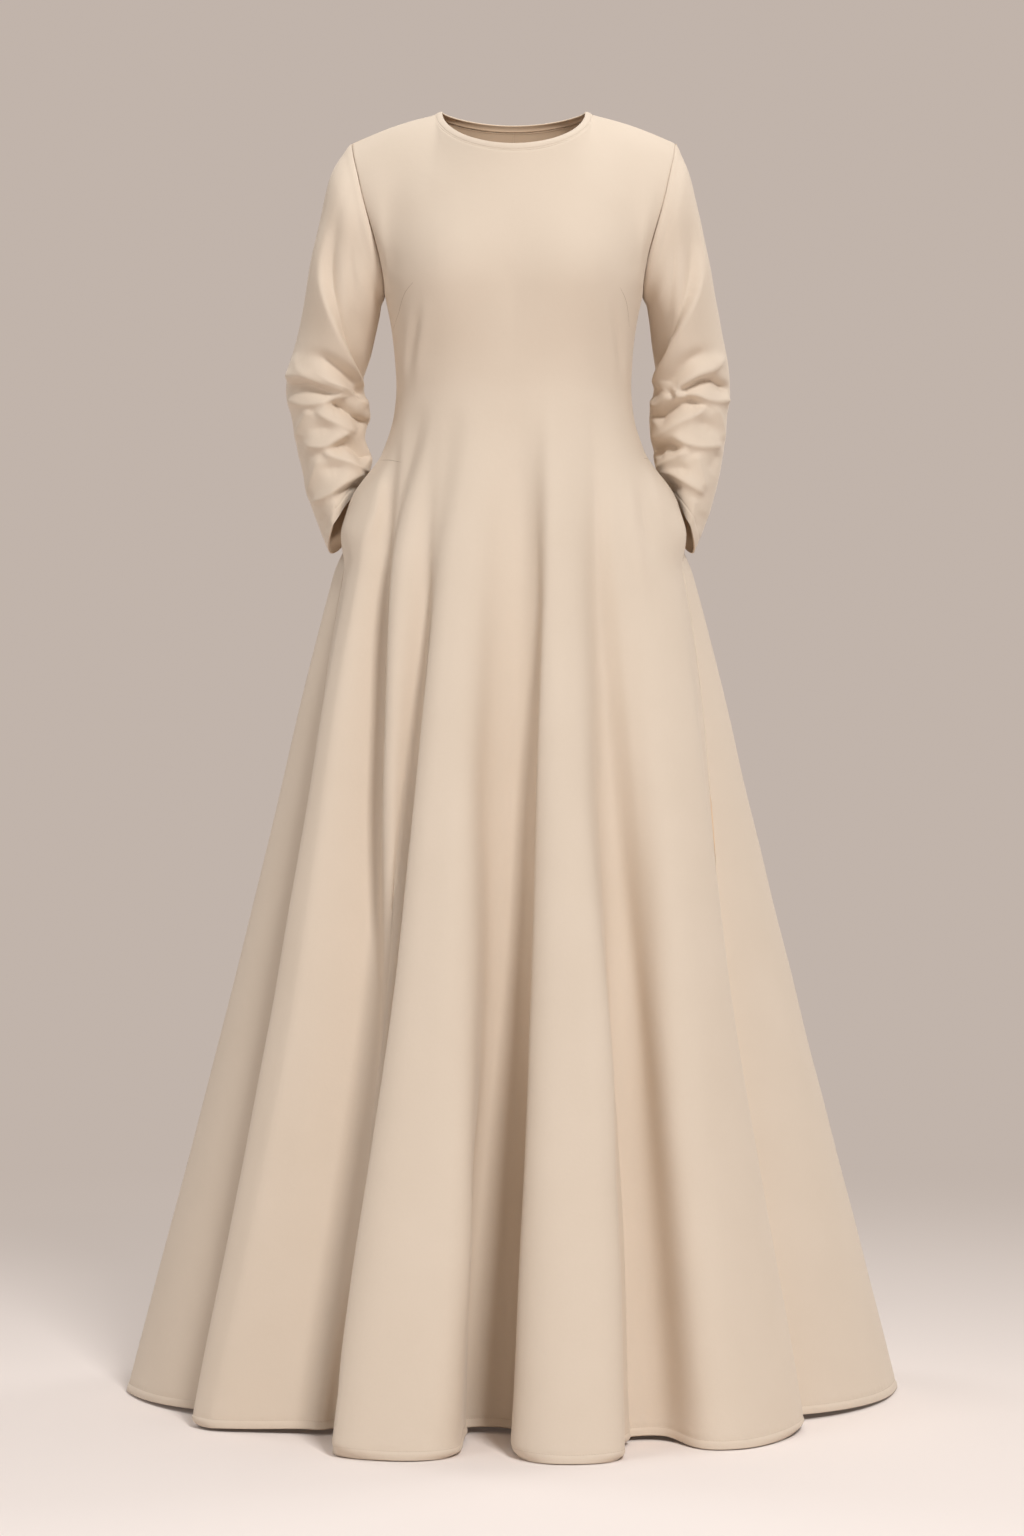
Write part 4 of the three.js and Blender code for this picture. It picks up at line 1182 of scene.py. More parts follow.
class Graph:
    """The node tree of one material."""

    def __init__(self, name: str) -> None:
        """Starts an empty material."""
        self.material = bpy.data.materials.new(name)
        self.material.use_nodes = True
        self.tree = self.material.node_tree
        self.tree.nodes.clear()

    def node(
        self,
        kind: str,
        settings: dict[str, object] | None = None,
        inputs: dict[str | int, object] | None = None,
    ) -> bpy.types.Node:
        """Adds one node.

        Args:
            kind: The node's type.
            settings: Its own settings, set first. stops is a colour ramp's list of places and values.
            inputs: The value or the link of each socket, by name or number.

        Returns:
            The node.
        """
        made = self.tree.nodes.new(kind)
        for key, value in (settings or {}).items():
            if key == "stops":
                ramp = made.color_ramp
                for element, (place, level) in zip(ramp.elements, value):
                    element.position = place
                    element.color = (level, level, level, 1.0)
            else:
                setattr(made, key, value)
        for key, value in (inputs or {}).items():
            if isinstance(value, Signal):
                self.tree.links.new(value.socket, made.inputs[key])
            else:
                made.inputs[key].default_value = value
        return made

    def signal(self, node: bpy.types.Node, output: str | int = 0) -> Signal:
        """Wraps one output of a node."""
        return Signal(self, node.outputs[output])

    def noise(self, where: Signal, scale: float, detail: float, roughness: float = 0.5) -> Signal:
        """Adds an even noise, from 0 to 1, with scale waves to the metre."""
        values = {"Vector": where, "Scale": scale, "Detail": detail, "Roughness": roughness}
        return self.signal(self.node("ShaderNodeTexNoise", None, values), "Fac")

    def blend(self, share: Signal, first: Colour | Signal, second: Colour | Signal) -> Signal:
        """Mixes two colours by a share."""
        made = self.node("ShaderNodeMix", {"data_type": "RGBA"}, {0: share, 6: first, 7: second})
        return self.signal(made, 2)

    def close(self, inputs: dict[str, object]) -> bpy.types.Material:
        """Ends the material with one Principled shader.

        Args:
            inputs: The value or the link of each of the shader's sockets.

        Returns:
            The material.
        """
        shader = self.node("ShaderNodeBsdfPrincipled", None, inputs)
        self.node("ShaderNodeOutputMaterial", None, {"Surface": self.signal(shader)})
        return self.material


@dataclass(frozen=True)
class CrepeFinish:
    """Plain dyed crepe: matte, with a fine pebbled grain and a faint unevenness of tone.

    under is a warmer, deeper tone painted on its inner face: painted bounce shade, standing for the warm
    light thrown about inside the garment.
    """

    name: str
    pale: Colour
    deep: Colour
    under: Colour
    grain: float = 0.00007
    grain_scale: float = 1500.0
    slub: float = 0.00012
    pucker: float = 0.0007
    pucker_scale: float = 95.0
    roughness: float = 0.86
    roughness_spread: float = 0.08
    tone_scale: float = 11.0
    speckle_scale: float = 620.0
    slub_scale: float = 170.0
    sheen: float = 0.22
    sheen_roughness: float = 0.45
    sheen_tint: Colour = (1.0, 0.93, 0.84, 1.0)
    specular: float = 0.25

    def make(self) -> bpy.types.Material:
        """Builds the material."""
        graph = Graph(self.name)
        place = graph.signal(graph.node("ShaderNodeTexCoord"), "Object")
        tone = graph.noise(place, self.tone_scale, 3.0)
        speckle = graph.noise(place, self.speckle_scale, 2.0, 0.6)
        grain = graph.noise(place, self.grain_scale, 2.0, 0.55)
        slub = graph.noise(place, self.slub_scale, 3.0, 0.6)
        stops = ((0.3, 0.0), (0.7, 1.0))
        share = graph.node("ShaderNodeValToRGB", {"stops": stops}, {"Fac": tone * 0.7 + speckle * 0.3})
        face = graph.blend(graph.signal(share), self.deep, self.pale)
        # the inner sheet takes the under tone: painted warm bounce shade
        inside = graph.signal(graph.node("ShaderNodeAttribute", {"attribute_name": "inside"}), "Fac")
        colour = graph.blend(inside, face, self.under)
        puckered = graph.signal(graph.node("ShaderNodeAttribute", {"attribute_name": "pucker"}), "Fac")
        wrinkle = graph.noise(place, self.pucker_scale, 1.0)
        height = grain * self.grain + slub * self.slub + puckered * wrinkle * self.pucker
        bump = graph.node("ShaderNodeBump", None, {"Strength": 1.0, "Distance": 1.0, "Height": height})
        rough = grain * self.roughness_spread + (self.roughness - self.roughness_spread / 2)
        return graph.close(
            {
                "Base Color": colour,
                "Roughness": rough,
                "Normal": graph.signal(bump),
                "Sheen Weight": self.sheen,
                "Sheen Roughness": self.sheen_roughness,
                "Sheen Tint": self.sheen_tint,
                "Specular IOR Level": self.specular,
            }
        )


@dataclass(frozen=True)
class ThreadAndSeamShadeFinish:
    """Sewing thread, and the painted shade of seam grooves: the crepe's tone, a little deeper, with a slight
    gloss and twist.
    """

    name: str
    pale: Colour
    deep: Colour
    roughness: float = 0.6
    twist_scale: float = 2600.0
    twist_depth: float = 0.0002

    def make(self) -> bpy.types.Material:
        """Builds the material."""
        graph = Graph(self.name)
        place = graph.signal(graph.node("ShaderNodeTexCoord"), "Object")
        twist = graph.noise(place, self.twist_scale, 1.0)
        colour = graph.blend(twist, self.deep, self.pale)
        values = {"Strength": 0.6, "Distance": self.twist_depth, "Height": twist}
        bump = graph.node("ShaderNodeBump", None, values)
        values = {"Base Color": colour, "Roughness": self.roughness, "Normal": graph.signal(bump)}
        return graph.close(values)


CREPE = CrepeFinish(
    "beige_crepe",
    pale=(0.735, 0.624, 0.512, 1.0),
    deep=(0.71, 0.60, 0.487, 1.0),
    # under: painted warm bounce shade on the inner face
    under=(0.74, 0.55, 0.385, 1.0),
)
POCKETING = CrepeFinish(
    "pocket_crepe",
    pale=(0.69, 0.555, 0.43, 1.0),
    deep=(0.65, 0.52, 0.40, 1.0),
    # under: painted warm bounce shade on the inner face
    under=(0.60, 0.47, 0.34, 1.0),
    pucker=0.0004,
)
THREAD = ThreadAndSeamShadeFinish("beige_thread", (0.60, 0.475, 0.355, 1.0), (0.46, 0.355, 0.26, 1.0))
# SEAM_SHADE is painted shade: a deeper tone for the strips that stand for the shadow in the grooves of the
# darts and pocket-top seams
SEAM_SHADE = ThreadAndSeamShadeFinish("painted_seam_shade", (0.50, 0.39, 0.285, 1.0), (0.42, 0.325, 0.235, 1.0), 0.85)


@dataclass
class ClothPiece:
    """A piece of cloth that stands for one solid of the model."""

    name: str
    node: str
    flat: tuple[float, float]
    area: float
    hold: Hold
    hangs_from: tuple[str, ...]
    cloth: float = 1.2

    def shape(self) -> Surface:
        """Works out the middle of the cloth."""
        raise NotImplementedError

    def wall(self, surface: Surface) -> bpy.types.Object:
        """Closes the surface into cloth."""
        return make_wall(self.name, surface, self.cloth)

    def finish(self) -> CrepeFinish:
        """Names the finish of the piece."""
        return CREPE

    def build(self, finishes: dict[str, bpy.types.Material]) -> Surface:
        """Args:
            finishes: The materials made so far, by name.

        Returns:
            The surface, for what is sewn on it.
        """
        surface = self.shape()
        made = self.wall(surface)
        made.data.materials.append(finishes[self.finish().name])
        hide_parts(self.node)
        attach(made, "root")
        LOG.info("%s: %d faces", self.name, len(made.data.polygons))
        return surface


@dataclass
class Panel(ClothPiece):
    """A front or back panel, from the neck and shoulder down to the hem.

    Its columns are spread by the hem's shape at columns_level. seam_sink is how far an edge
    turns in at the shoulder, neck and centre back, and side_sink at the two side seams.
    row_heights and hem_row, the row that the hem stitching follows, are found with the shape.
    """

    folds: tuple[Fold, ...] = FRONT_FOLDS
    facing: Facing = Facing.FRONT
    creases: tuple[Line, ...] = ()
    columns_per_fold: int = 23
    columns_level: float = 150.0
    yoke_rows: int = 56
    yoke_easing: int = 60
    hem_width: float = 9.0
    seam_sink: float = 0.45
    side_sink: float = 0.45
    seam_width: float = 1.8
    seam_columns: tuple[float, ...] = (0.0, 1.4, 3.0, 5.0)
    seam_clear: float = 7.0
    crest_clear: float = 5.5
    row_gap: float = 6.4
    hem_extra: float = 0.6
    seed: int = 1
    row_heights: Array = field(init=False)
    hem_row: int = field(init=False)

    def places(self) -> Array:
        """Spreads columns along the folds, closer where the hem turns and at the two side seams.

        None lie right where a narrow crest doubles back on itself, so that its top is round.
        """
        last = len(self.folds) - 1
        fine = np.linspace(0, last, last * 60 + 1)
        step = np.diff(self.folded(fine, self.columns_level)[:, :2], axis=0)
        length = np.linalg.norm(step, axis=1)
        heading = np.unwrap(np.arctan2(step[:, 1], step[:, 0]))
        turn = np.abs(np.diff(heading, prepend=heading[0]))
        weight = length / length.sum() + 0.5 * turn / turn.sum() + 0.3 / len(length)
        along = np.concatenate([[0.0], np.cumsum(weight)])
        even = np.interp(np.linspace(0, along[-1], last * self.columns_per_fold + 1), along, fine)
        reach = np.concatenate([[0.0], np.cumsum(length)])
        edges = np.array(self.seam_columns)
        edges = np.concatenate([edges, reach[-1] - edges[::-1]])
        ran = np.interp(even, fine, reach)
        doubled = reach[1:-1][np.abs(np.diff(heading)) > 1.0]
        clear = np.min(np.abs(ran[:, None] - doubled[None]), axis=1, initial=np.inf) > self.crest_clear
        inner = even[clear & (ran > self.seam_clear) & (ran < reach[-1] - self.seam_clear)]
        return np.sort(np.concatenate([np.interp(edges, reach, fine), inner]))

    def skirt_heights(self) -> Array:
        """Spreads rows down the skirt, closest along the hem."""
        hem = [42, 34, 27, 21, 16, 12.5, 10.2, self.hem_width, 7.8, 5.5, 3, 1.2, 0.0]
        upper = np.arange(UNDERARM - self.row_gap, 900, -self.row_gap)
        lower = np.linspace(upper[-1] - 8, 52, 76)
        return np.concatenate([upper, lower, hem])

    @cached_property
    def fullness(self) -> tuple[Array, Array]:
        """How far each crest and the next trough bulge past an even wave."""
        radius = (FORM.half(0.0) + FORM.depths[Facing.FRONT](0.0)) / 2
        # a cubic's weights a third of the way along: its far end, its near slope and its far slope
        even, own, other = 7 / 27, 4 / 27, 2 / 27
        scale = 1 / (own * own - other * other)
        near = []
        far = []
        for here, after in zip(self.folds[:-1], self.folds[1:]):
            span = math.radians(after.bearing[0] - here.bearing[0]) * radius
            first = here.half[1] / span - even
            second = after.half[0] / span - even
            near.append((own * first + other * second) * scale)
            far.append((own * second + other * first) * scale)
        return np.array(near), np.array(far)

    def folded(self, place: Array, height: Array) -> Array:
        """Finds the cloth's middle along the folds.

        Args:
            place: Places along the folds: 2.5 is half way from fold 2 to fold 3.
            height: Heights above the hem.

        Returns:
            The points, before the pocket mouths and the bust are shaped.
        """
        place, height = np.broadcast_arrays(np.asarray(place, float), np.asarray(height, float))
        low = np.clip(np.floor(place).astype(int), 0, len(self.folds) - 2)
        share = place - low
        level = np.minimum(height, WAIST)
        bearings = np.stack([Curve(BEARING_HEIGHTS, fold.bearing)(level) for fold in self.folds])
        reaches = np.stack([Curve(REACH_HEIGHTS, fold.reach)(level) for fold in self.folds])
        reaches = reaches * (height < WAIST)

        def pick(table: Array, index: Array) -> Array:
            """Takes each point's own row of a table."""
            return np.take_along_axis(table, index[None], axis=0)[0]

        whole = 1 - smooth(height, FOLDS_WHOLE, WAIST)
        near, far = self.fullness
        span = pick(bearings, low + 1) - pick(bearings, low)
        slope_near = mix(1.0, near[low], whole) * span
        slope_far = mix(1.0, far[low], whole) * span
        bearing = hermite(pick(bearings, low), pick(bearings, low + 1), slope_near, slope_far, share)
        out = hermite(pick(reaches, low), pick(reaches, low + 1), 0.0, 0.0, share)
        points = FORM.point(bearing, out, height)
        lift = HEM_LIFT * smooth(-out, -60, 60) * (1 - smooth(height, 0, 260))
        return points + triple(0.0, 0.0, lift)

    def body(self, place: Array, height: Array) -> Array:
        """Finds the cloth's middle with the pocket mouths and the bust."""
        return FORM.add_bust(FORM.shape_mouth(self.folded(place, height), self.facing))

    def across(self, places: Array) -> Array:
        """Says how many degrees from the middle each column meets the underarm.

        Args:
            places: The columns' places along the folds.

        Returns:
            The degrees, less than 0 on the right, one of them right at each end of the neck.
        """
        bearings = np.array([fold.bearing[3] for fold in self.folds], float)
        bearing = np.interp(places, np.arange(len(bearings)), bearings)
        across = bearing if self.facing is Facing.FRONT else 180 - bearing
        for target in (-NECK_BEARING, NECK_BEARING):
            nearest = np.argmin(np.abs(across - target))
            if abs(across[nearest] - target) < 1:
                across[nearest] = target
        return across

    def yoke(self, places: Array, down: Array) -> Array:
        """Finds the rows from the shoulder and neck down to the underarm.

        Args:
            places: The columns' places along the folds.
            down: The rows, from 0 at the top to 1 at the underarm.

        Returns:
            Rows and columns of points.
        """
        across = self.across(places)
        side = np.where(across < 0, -1.0, 1.0)
        edge = smooth(np.abs(across), NECK_BEARING, 90)
        level = np.full(places.shape, UNDERARM)
        foot = self.folded(places, level)
        below = self.folded(places, level - 12)
        curves = self.yoke_curves(across, (foot, below), edge, side, down)
        rim_across = 90 * side
        rim_foot = FORM.point(rim_across, 0.0, level)
        rim_below = FORM.point(rim_across, 0.0, level - 12)
        rims = self.yoke_curves(rim_across, (rim_foot, rim_below), np.ones(side.shape), side, down)
        seam = FORM.armhole(side[None], self.facing, down[:, None] + 0 * side[None])
        return FORM.add_bust(curves + (seam - rims) * (edge * edge)[None, :, None])

    def yoke_curves(
        self, across: Array, feet: tuple[Array, Array], edge: Array, side: Array, down: Array
    ) -> Array:
        """Runs one smooth curve a column from the top edge to the underarm section.

        Args:
            across: Each column's place on the top edge.
            feet: Where each column meets the underarm section, and the same column a little lower.
            edge: 1 at the armhole and 0 well inside the panel.
            side: -1 on the right and 1 on the left.
            down: The rows.

        Returns:
            Rows and columns of points.
        """
        foot, below = feet
        top, leaves = FORM.top_edge(across, self.facing)
        length = np.linalg.norm(top - foot, axis=-1)[..., None]
        share = (edge * edge)[..., None]
        facing = self.facing.value
        start = mix(leaves * length * 0.6, triple(-20 * side, 144 * facing, -144.0), share)
        end = mix(unit(below - foot) * length * 1.1, triple(-4 * side, -215 * facing, -96.0), share)
        return hermite(top[None], foot[None], start[None], end[None], down[:, None, None])

    def shape(self) -> Surface:
        """Works out the panel with its folds, creases and seams."""
        places = self.places()
        down = np.unique(np.concatenate([np.linspace(0, 1, self.yoke_rows), [0.004, 0.009]]))
        heights = self.skirt_heights()
        skirt = self.body(places[None], heights[:, None] + 0 * places[None])
        surface = Surface(np.concatenate([self.yoke(places, down), skirt]))
        self.keep_heights(len(down), heights)
        self.ease_yoke(surface, down)
        surface.crease(self.creases, self.facing, self.free(surface))
        surface.ripple(0.35, 120.0, self.seed)
        self.sew_edges(surface)
        return surface

    def ease_yoke(self, surface: Surface, down: Array) -> None:
        """Evens the yoke across, where the neck and shoulder edges meet at an angle.

        Args:
            surface: The panel.
            down: The yoke's rows.
        """
        share = (smooth(down, 0.0, 0.22) * (1 - smooth(down, 0.7, 1.0)))[:, None, None]
        rows = slice(0, len(down))
        for _ in range(self.yoke_easing):
            block = surface.points[rows]
            even = block.copy()
            even[:, 1:-1] = (block[:, :-2] + block[:, 2:]) / 2
            surface.points[rows] = mix(block, even, 0.5 * share)
        surface.refresh()

    def free(self, surface: Surface) -> Array:
        """Says how freely creases move each point: not at all on a seam or at the neck."""
        sides = np.minimum(surface.from_side(False), surface.from_side(True))
        return smooth(sides, 1, 22) * smooth(surface.from_top(False), 2, 20)

    def keep_heights(self, yoke: int, heights: Array) -> None:
        """Remembers each row's height, and which row the hem stitching follows."""
        self.row_heights = np.concatenate([np.full(yoke, UNDERARM), heights])
        self.hem_row = int(np.argmin(np.abs(self.row_heights - self.hem_width)))

    def sew_edges(self, surface: Surface) -> None:
        """Turns the seam edges in, holds them off their seams and rounds the hem.

        Args:
            surface: The panel.
        """
        top = surface.from_top(False)
        amount = -self.seam_sink * (1 - smooth(top, 0, self.seam_width))
        for last in (False, True):
            side = surface.from_side(last)
            column = -1 if last else 0
            height = surface.points[:, column, 2]
            depth = self.side_sink
            open_share = FORM.mouth_share(height)
            if self.folds[column].name == "back_seam":
                depth = self.seam_sink
                open_share = np.zeros(height.shape)
            sink = depth * (1 - open_share) * (self.row_heights > 12)
            amount -= sink[:, None] * (1 - smooth(side, 0, self.seam_width))
        level = self.row_heights[:, None] + 0 * amount
        amount -= 0.5 * np.exp(-(((level - self.hem_width) / 1.6) ** 2))
        amount += 0.45 * smooth(level, 0.5, 3) * (1 - smooth(level, 6, self.hem_width))
        surface.push(amount)
        for column, nearby in ((0, 1), (-1, -2)):
            inwards = unit(surface.points[:, nearby] - surface.points[:, column])
            surface.points[:, column] -= inwards * 0.15

    def wall(self, surface: Surface) -> bpy.types.Object:
        """Closes the panel, thicker along the turned hem and thin where its seams turn in.

        Args:
            surface: The middle of the cloth.

        Returns:
            The object.
        """
        level = self.row_heights[:, None] + 0 * surface.points[..., 0]
        thick = self.cloth + self.hem_extra * (1 - smooth(level, self.hem_width - 1, self.hem_width + 1))
        pucker = np.exp(-(((level - self.hem_width) / 11) ** 2))
        for last in (False, True):
            side = surface.from_side(last)
            pucker = np.maximum(pucker, 0.3 * np.exp(-((side / 5) ** 2)))
            thick = thick * mix(0.3, 1.0, smooth(side, 0.1, 2.5))
        return make_wall(self.name, surface, thick, pucker=pucker)


def through_rings(rings: Array, steps: Sequence[float]) -> Array:
    """Runs smooth columns through a few key rings.

    Args:
        rings: The key rings, each a row of points.
        steps: Where to read them: 2.5 is half way from ring 2 to ring 3.

    Returns:
        Rows and columns of points.
    """
    return Curve(range(len(rings)), rings)(np.asarray(steps, float))


@dataclass
class Sleeve(ClothPiece):
    """A set-in sleeve, from the armhole to the cuff."""

    side: float = 1.0
    rings: tuple[SleeveRing, ...] = LEFT_RINGS
    front_creases: tuple[Line, ...] = ()
    back_creases: tuple[Line, ...] = ()
    columns: int = 192
    rows: int = 216
    strength: float = 1.25
    cuff_width: float = 14.0
    cuff_extra: float = 0.8
    seed: int = 4

    def turns(self) -> Array:
        """Spreads columns evenly round the sleeve, from its top over the front."""
        return np.linspace(0, math.tau, self.columns, endpoint=False)

    def armhole_ring(self, turns: Array) -> Array:
        """Finds the armhole's points, just outside the body's edges.

        Args:
            turns: Each column's turn round the sleeve.

        Returns:
            The points.
        """
        top, bottom = FORM.shoulder_tip[2], UNDERARM
        height = (top + bottom) / 2 + (top - bottom) / 2 * np.cos(turns)
        fine = np.linspace(0, 1, 400)
        points = np.empty((len(turns), 3))
        for facing, chosen in ((Facing.FRONT, turns <= math.pi), (Facing.BACK, turns > math.pi)):
            seam = FORM.armhole(self.side, facing, fine)
            down = np.interp(-height[chosen], -seam[:, 2], fine)
            points[chosen] = FORM.armhole(self.side, facing, down)
        return points + np.array([self.side * SEAM_GAP / 2, 0.0, 0.0])

    def ring(self, ring: SleeveRing, turns: Array) -> Array:
        """Finds one ring's points, its front tilted away from the body towards the elbow.

        Args:
            ring: The ring's sizes.
            turns: Each column's turn round the sleeve.

        Returns:
            The points.
        """
        across = self.side * (ring.out_x + ring.in_x) / 2
        centre = np.array([across, ring.middle_y, (ring.out_z + ring.in_z) / 2])
        out = np.array([self.side * (ring.out_x - ring.in_x) / 2, 0.0, (ring.out_z - ring.in_z) / 2])
        forward = unit(np.array([-self.side * out[2], 0.0, self.side * out[0]])) * ring.tilt
        forward[1] = -ring.half
        return centre + np.cos(turns)[:, None] * out + np.sin(turns)[:, None] * forward

    def shape(self) -> Surface:
        """Works out the sleeve with its creases, armhole seam and cuff."""
        turns = self.turns()
        keys = np.stack([self.armhole_ring(turns), *[self.ring(ring, turns) for ring in self.rings]])
        last = len(self.rings)
        edges = [0.02, 0.05, last - 0.03, last - 0.1, last - 0.2]
        steps = np.unique(np.concatenate([np.linspace(0, last, self.rows), edges]))
        surface = Surface(through_rings(keys, steps), turn=-self.side, wraps=True)
        free = self.strength * smooth(surface.from_top(False), 2, 18)
        surface.crease(self.front_creases, Facing.FRONT, free)
        surface.crease(self.back_creases, Facing.BACK, free)
        surface.ripple(0.4, 70.0, self.seed)
        top = surface.from_top(False)
        cuff = surface.from_top(True)
        amount = -0.45 * (1 - smooth(top, 0, 1.8)) + 0.6 * np.exp(-(((top - 7) / 5) ** 2))
        amount -= 0.35 * np.exp(-(((cuff - self.cuff_width) / 2.2) ** 2))
        surface.push(amount)
        return surface

    def wall(self, surface: Surface) -> bpy.types.Object:
        """Closes the sleeve, thicker along the turned cuff.

        Args:
            surface: The middle of the cloth.

        Returns:
            The object.
        """
        top = surface.from_top(False)
        cuff = surface.from_top(True)
        thick = self.cloth + self.cuff_extra * (1 - smooth(cuff, self.cuff_width - 2, self.cuff_width + 1))
        pucker = 0.5 * np.exp(-(((cuff - self.cuff_width) / 9) ** 2)) + 0.35 * np.exp(-((top / 9) ** 2))
        return make_wall(self.name, surface, thick, pucker=pucker)


@dataclass
class NeckBinding(ClothPiece):
    """The narrow bound edge round the neck."""

    columns: int = 280
    cloth: float = 2.0

    def ring(self) -> list[tuple[float, Facing]]:
        """Lists the turn of each column, across the front and then the back."""
        half = self.columns // 2
        front = [(-90 + 180 * k / half, Facing.FRONT) for k in range(half)]
        back = [(90 - 180 * k / half, Facing.BACK) for k in range(half)]
        return front + back

    def shape(self) -> Surface:
        """Works out the binding's bowed strip."""
        shares = np.array([0, 0.06, 0.16, 0.32, 0.5, 0.68, 0.8, 0.86, 0.92, 0.97, 1.0])
        places = self.ring()
        columns = []
        for turn, facing in places:
            down = FORM.binding_width * shares
            columns.append(FORM.neck_point(np.full(shares.shape, turn), facing, down))
        surface = Surface(np.stack(columns, axis=1), wraps=True)
        dip = 0.5 * np.exp(-(((shares - 0.87) / 0.05) ** 2))
        bow = 0.55 * np.sin(np.pi * np.clip(shares / 0.86, 0, 1)) - dip
        edge = -0.6 * smooth(shares, 0.93, 1.0)
        surface.push(np.repeat((bow + edge)[:, None], self.columns, axis=1))
        return surface

    def wall(self, surface: Surface) -> bpy.types.Object:
        """Closes the binding, rounded over its fold at the neck edge.

        Args:
            surface: The middle of the cloth.

        Returns:
            The object.
        """
        down = np.linspace(0, 1, len(surface.points))
        rounding = np.sqrt(np.clip(1 - (1 - smooth(down, -0.25, 0.25)) ** 2, 0.05, 1))
        thick = np.repeat((self.cloth * rounding)[:, None], self.columns, axis=1)
        return make_wall(self.name, surface, thick, pucker=np.full(thick.shape, 0.35))


@dataclass
class PocketBag(ClothPiece):
    """A pocket's bag, which hangs inside the front from the open mouth in the side seam."""

    side: float = 1.0
    front: Panel | None = None
    back: Panel | None = None
    columns: int = 72
    rows_per_ring: int = 8
    wall_gap: float = 2.6
    cloth: float = 1.0

    def finish(self) -> CrepeFinish:
        """Names the pocketing."""
        return POCKETING

    def under(self, panel: Panel, place: Array, height: Array, depth: Array) -> Array:
        """Finds points below a panel's surface.

        Args:
            panel: The panel above.
            place: Places along its folds.
            height: Heights above the hem.
            depth: How far in from its middle.

        Returns:
            The points.
        """
        last = len(panel.folds) - 1
        high = panel.body(np.minimum(place + 0.05, last), height)
        low = panel.body(np.maximum(place - 0.05, 0), height)
        up = panel.body(place, height + 4) - panel.body(place, height - 4)
        normal = unit(np.cross(high - low, up))
        return panel.body(place, height) - normal * depth[..., None]

    def place_at(self, bearing: Array, height: Array) -> Array:
        """Finds where along the front's folds a bearing lies at a height.

        Args:
            bearing: Degrees from the centre front.
            height: Heights above the hem.

        Returns:
            The places along the folds.
        """
        folds = self.front.folds
        table = np.stack([Curve(BEARING_HEIGHTS, fold.bearing)(np.minimum(height, WAIST)) for fold in folds])
        order = np.arange(len(folds))
        return np.array([np.interp(bearing[k], table[:, k], order) for k in range(len(bearing))])

    def shape(self) -> Surface:
        """Works out the bag from its mouth inwards."""
        turns = np.linspace(0, math.tau, self.columns, endpoint=False)
        middle = (FORM.mouth_top + FORM.mouth_bottom) / 2
        half = (FORM.mouth_top - FORM.mouth_bottom) / 2
        height = middle + half * np.cos(turns)
        inside = np.full(turns.shape, 2.0 / 2 + 1.2 / 2 + self.wall_gap)
        front_seam = 0 if self.side < 0 else len(self.front.folds) - 1
        back_seam = len(self.back.folds) - 1 if self.side < 0 else 0
        ahead = self.under(self.front, np.full(turns.shape, float(front_seam)), height, inside)
        behind = self.under(self.back, np.full(turns.shape, float(back_seam)), height, inside)
        keys = [np.where((turns <= math.pi)[:, None], ahead, behind)]
        for ring in BAG_RINGS:
            level = ring.height + ring.half_height * np.cos(turns)
            bearing = FORM.seam_bearing(np.full(turns.shape, self.side), level) - self.side * ring.away
            place = self.place_at(bearing, level)
            keys.append(self.under(self.front, place, level, ring.off - ring.half_thick * np.sin(turns)))
        steps = np.linspace(0, len(BAG_RINGS), len(BAG_RINGS) * self.rows_per_ring + 1)
        surface = Surface(through_rings(np.stack(keys), steps), turn=self.side, wraps=True)
        surface.ripple(0.5, 60.0, 9)
        return surface

    def wall(self, surface: Surface) -> bpy.types.Object:
        """Closes the bag at its bottom."""
        return make_wall(self.name, surface, self.cloth, capped=True)


def sew_on(made: bpy.types.Object, finish: bpy.types.Material) -> None:
    """Dresses sewing and holds it to the garment."""
    made.data.materials.append(finish)
    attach(made, "root")


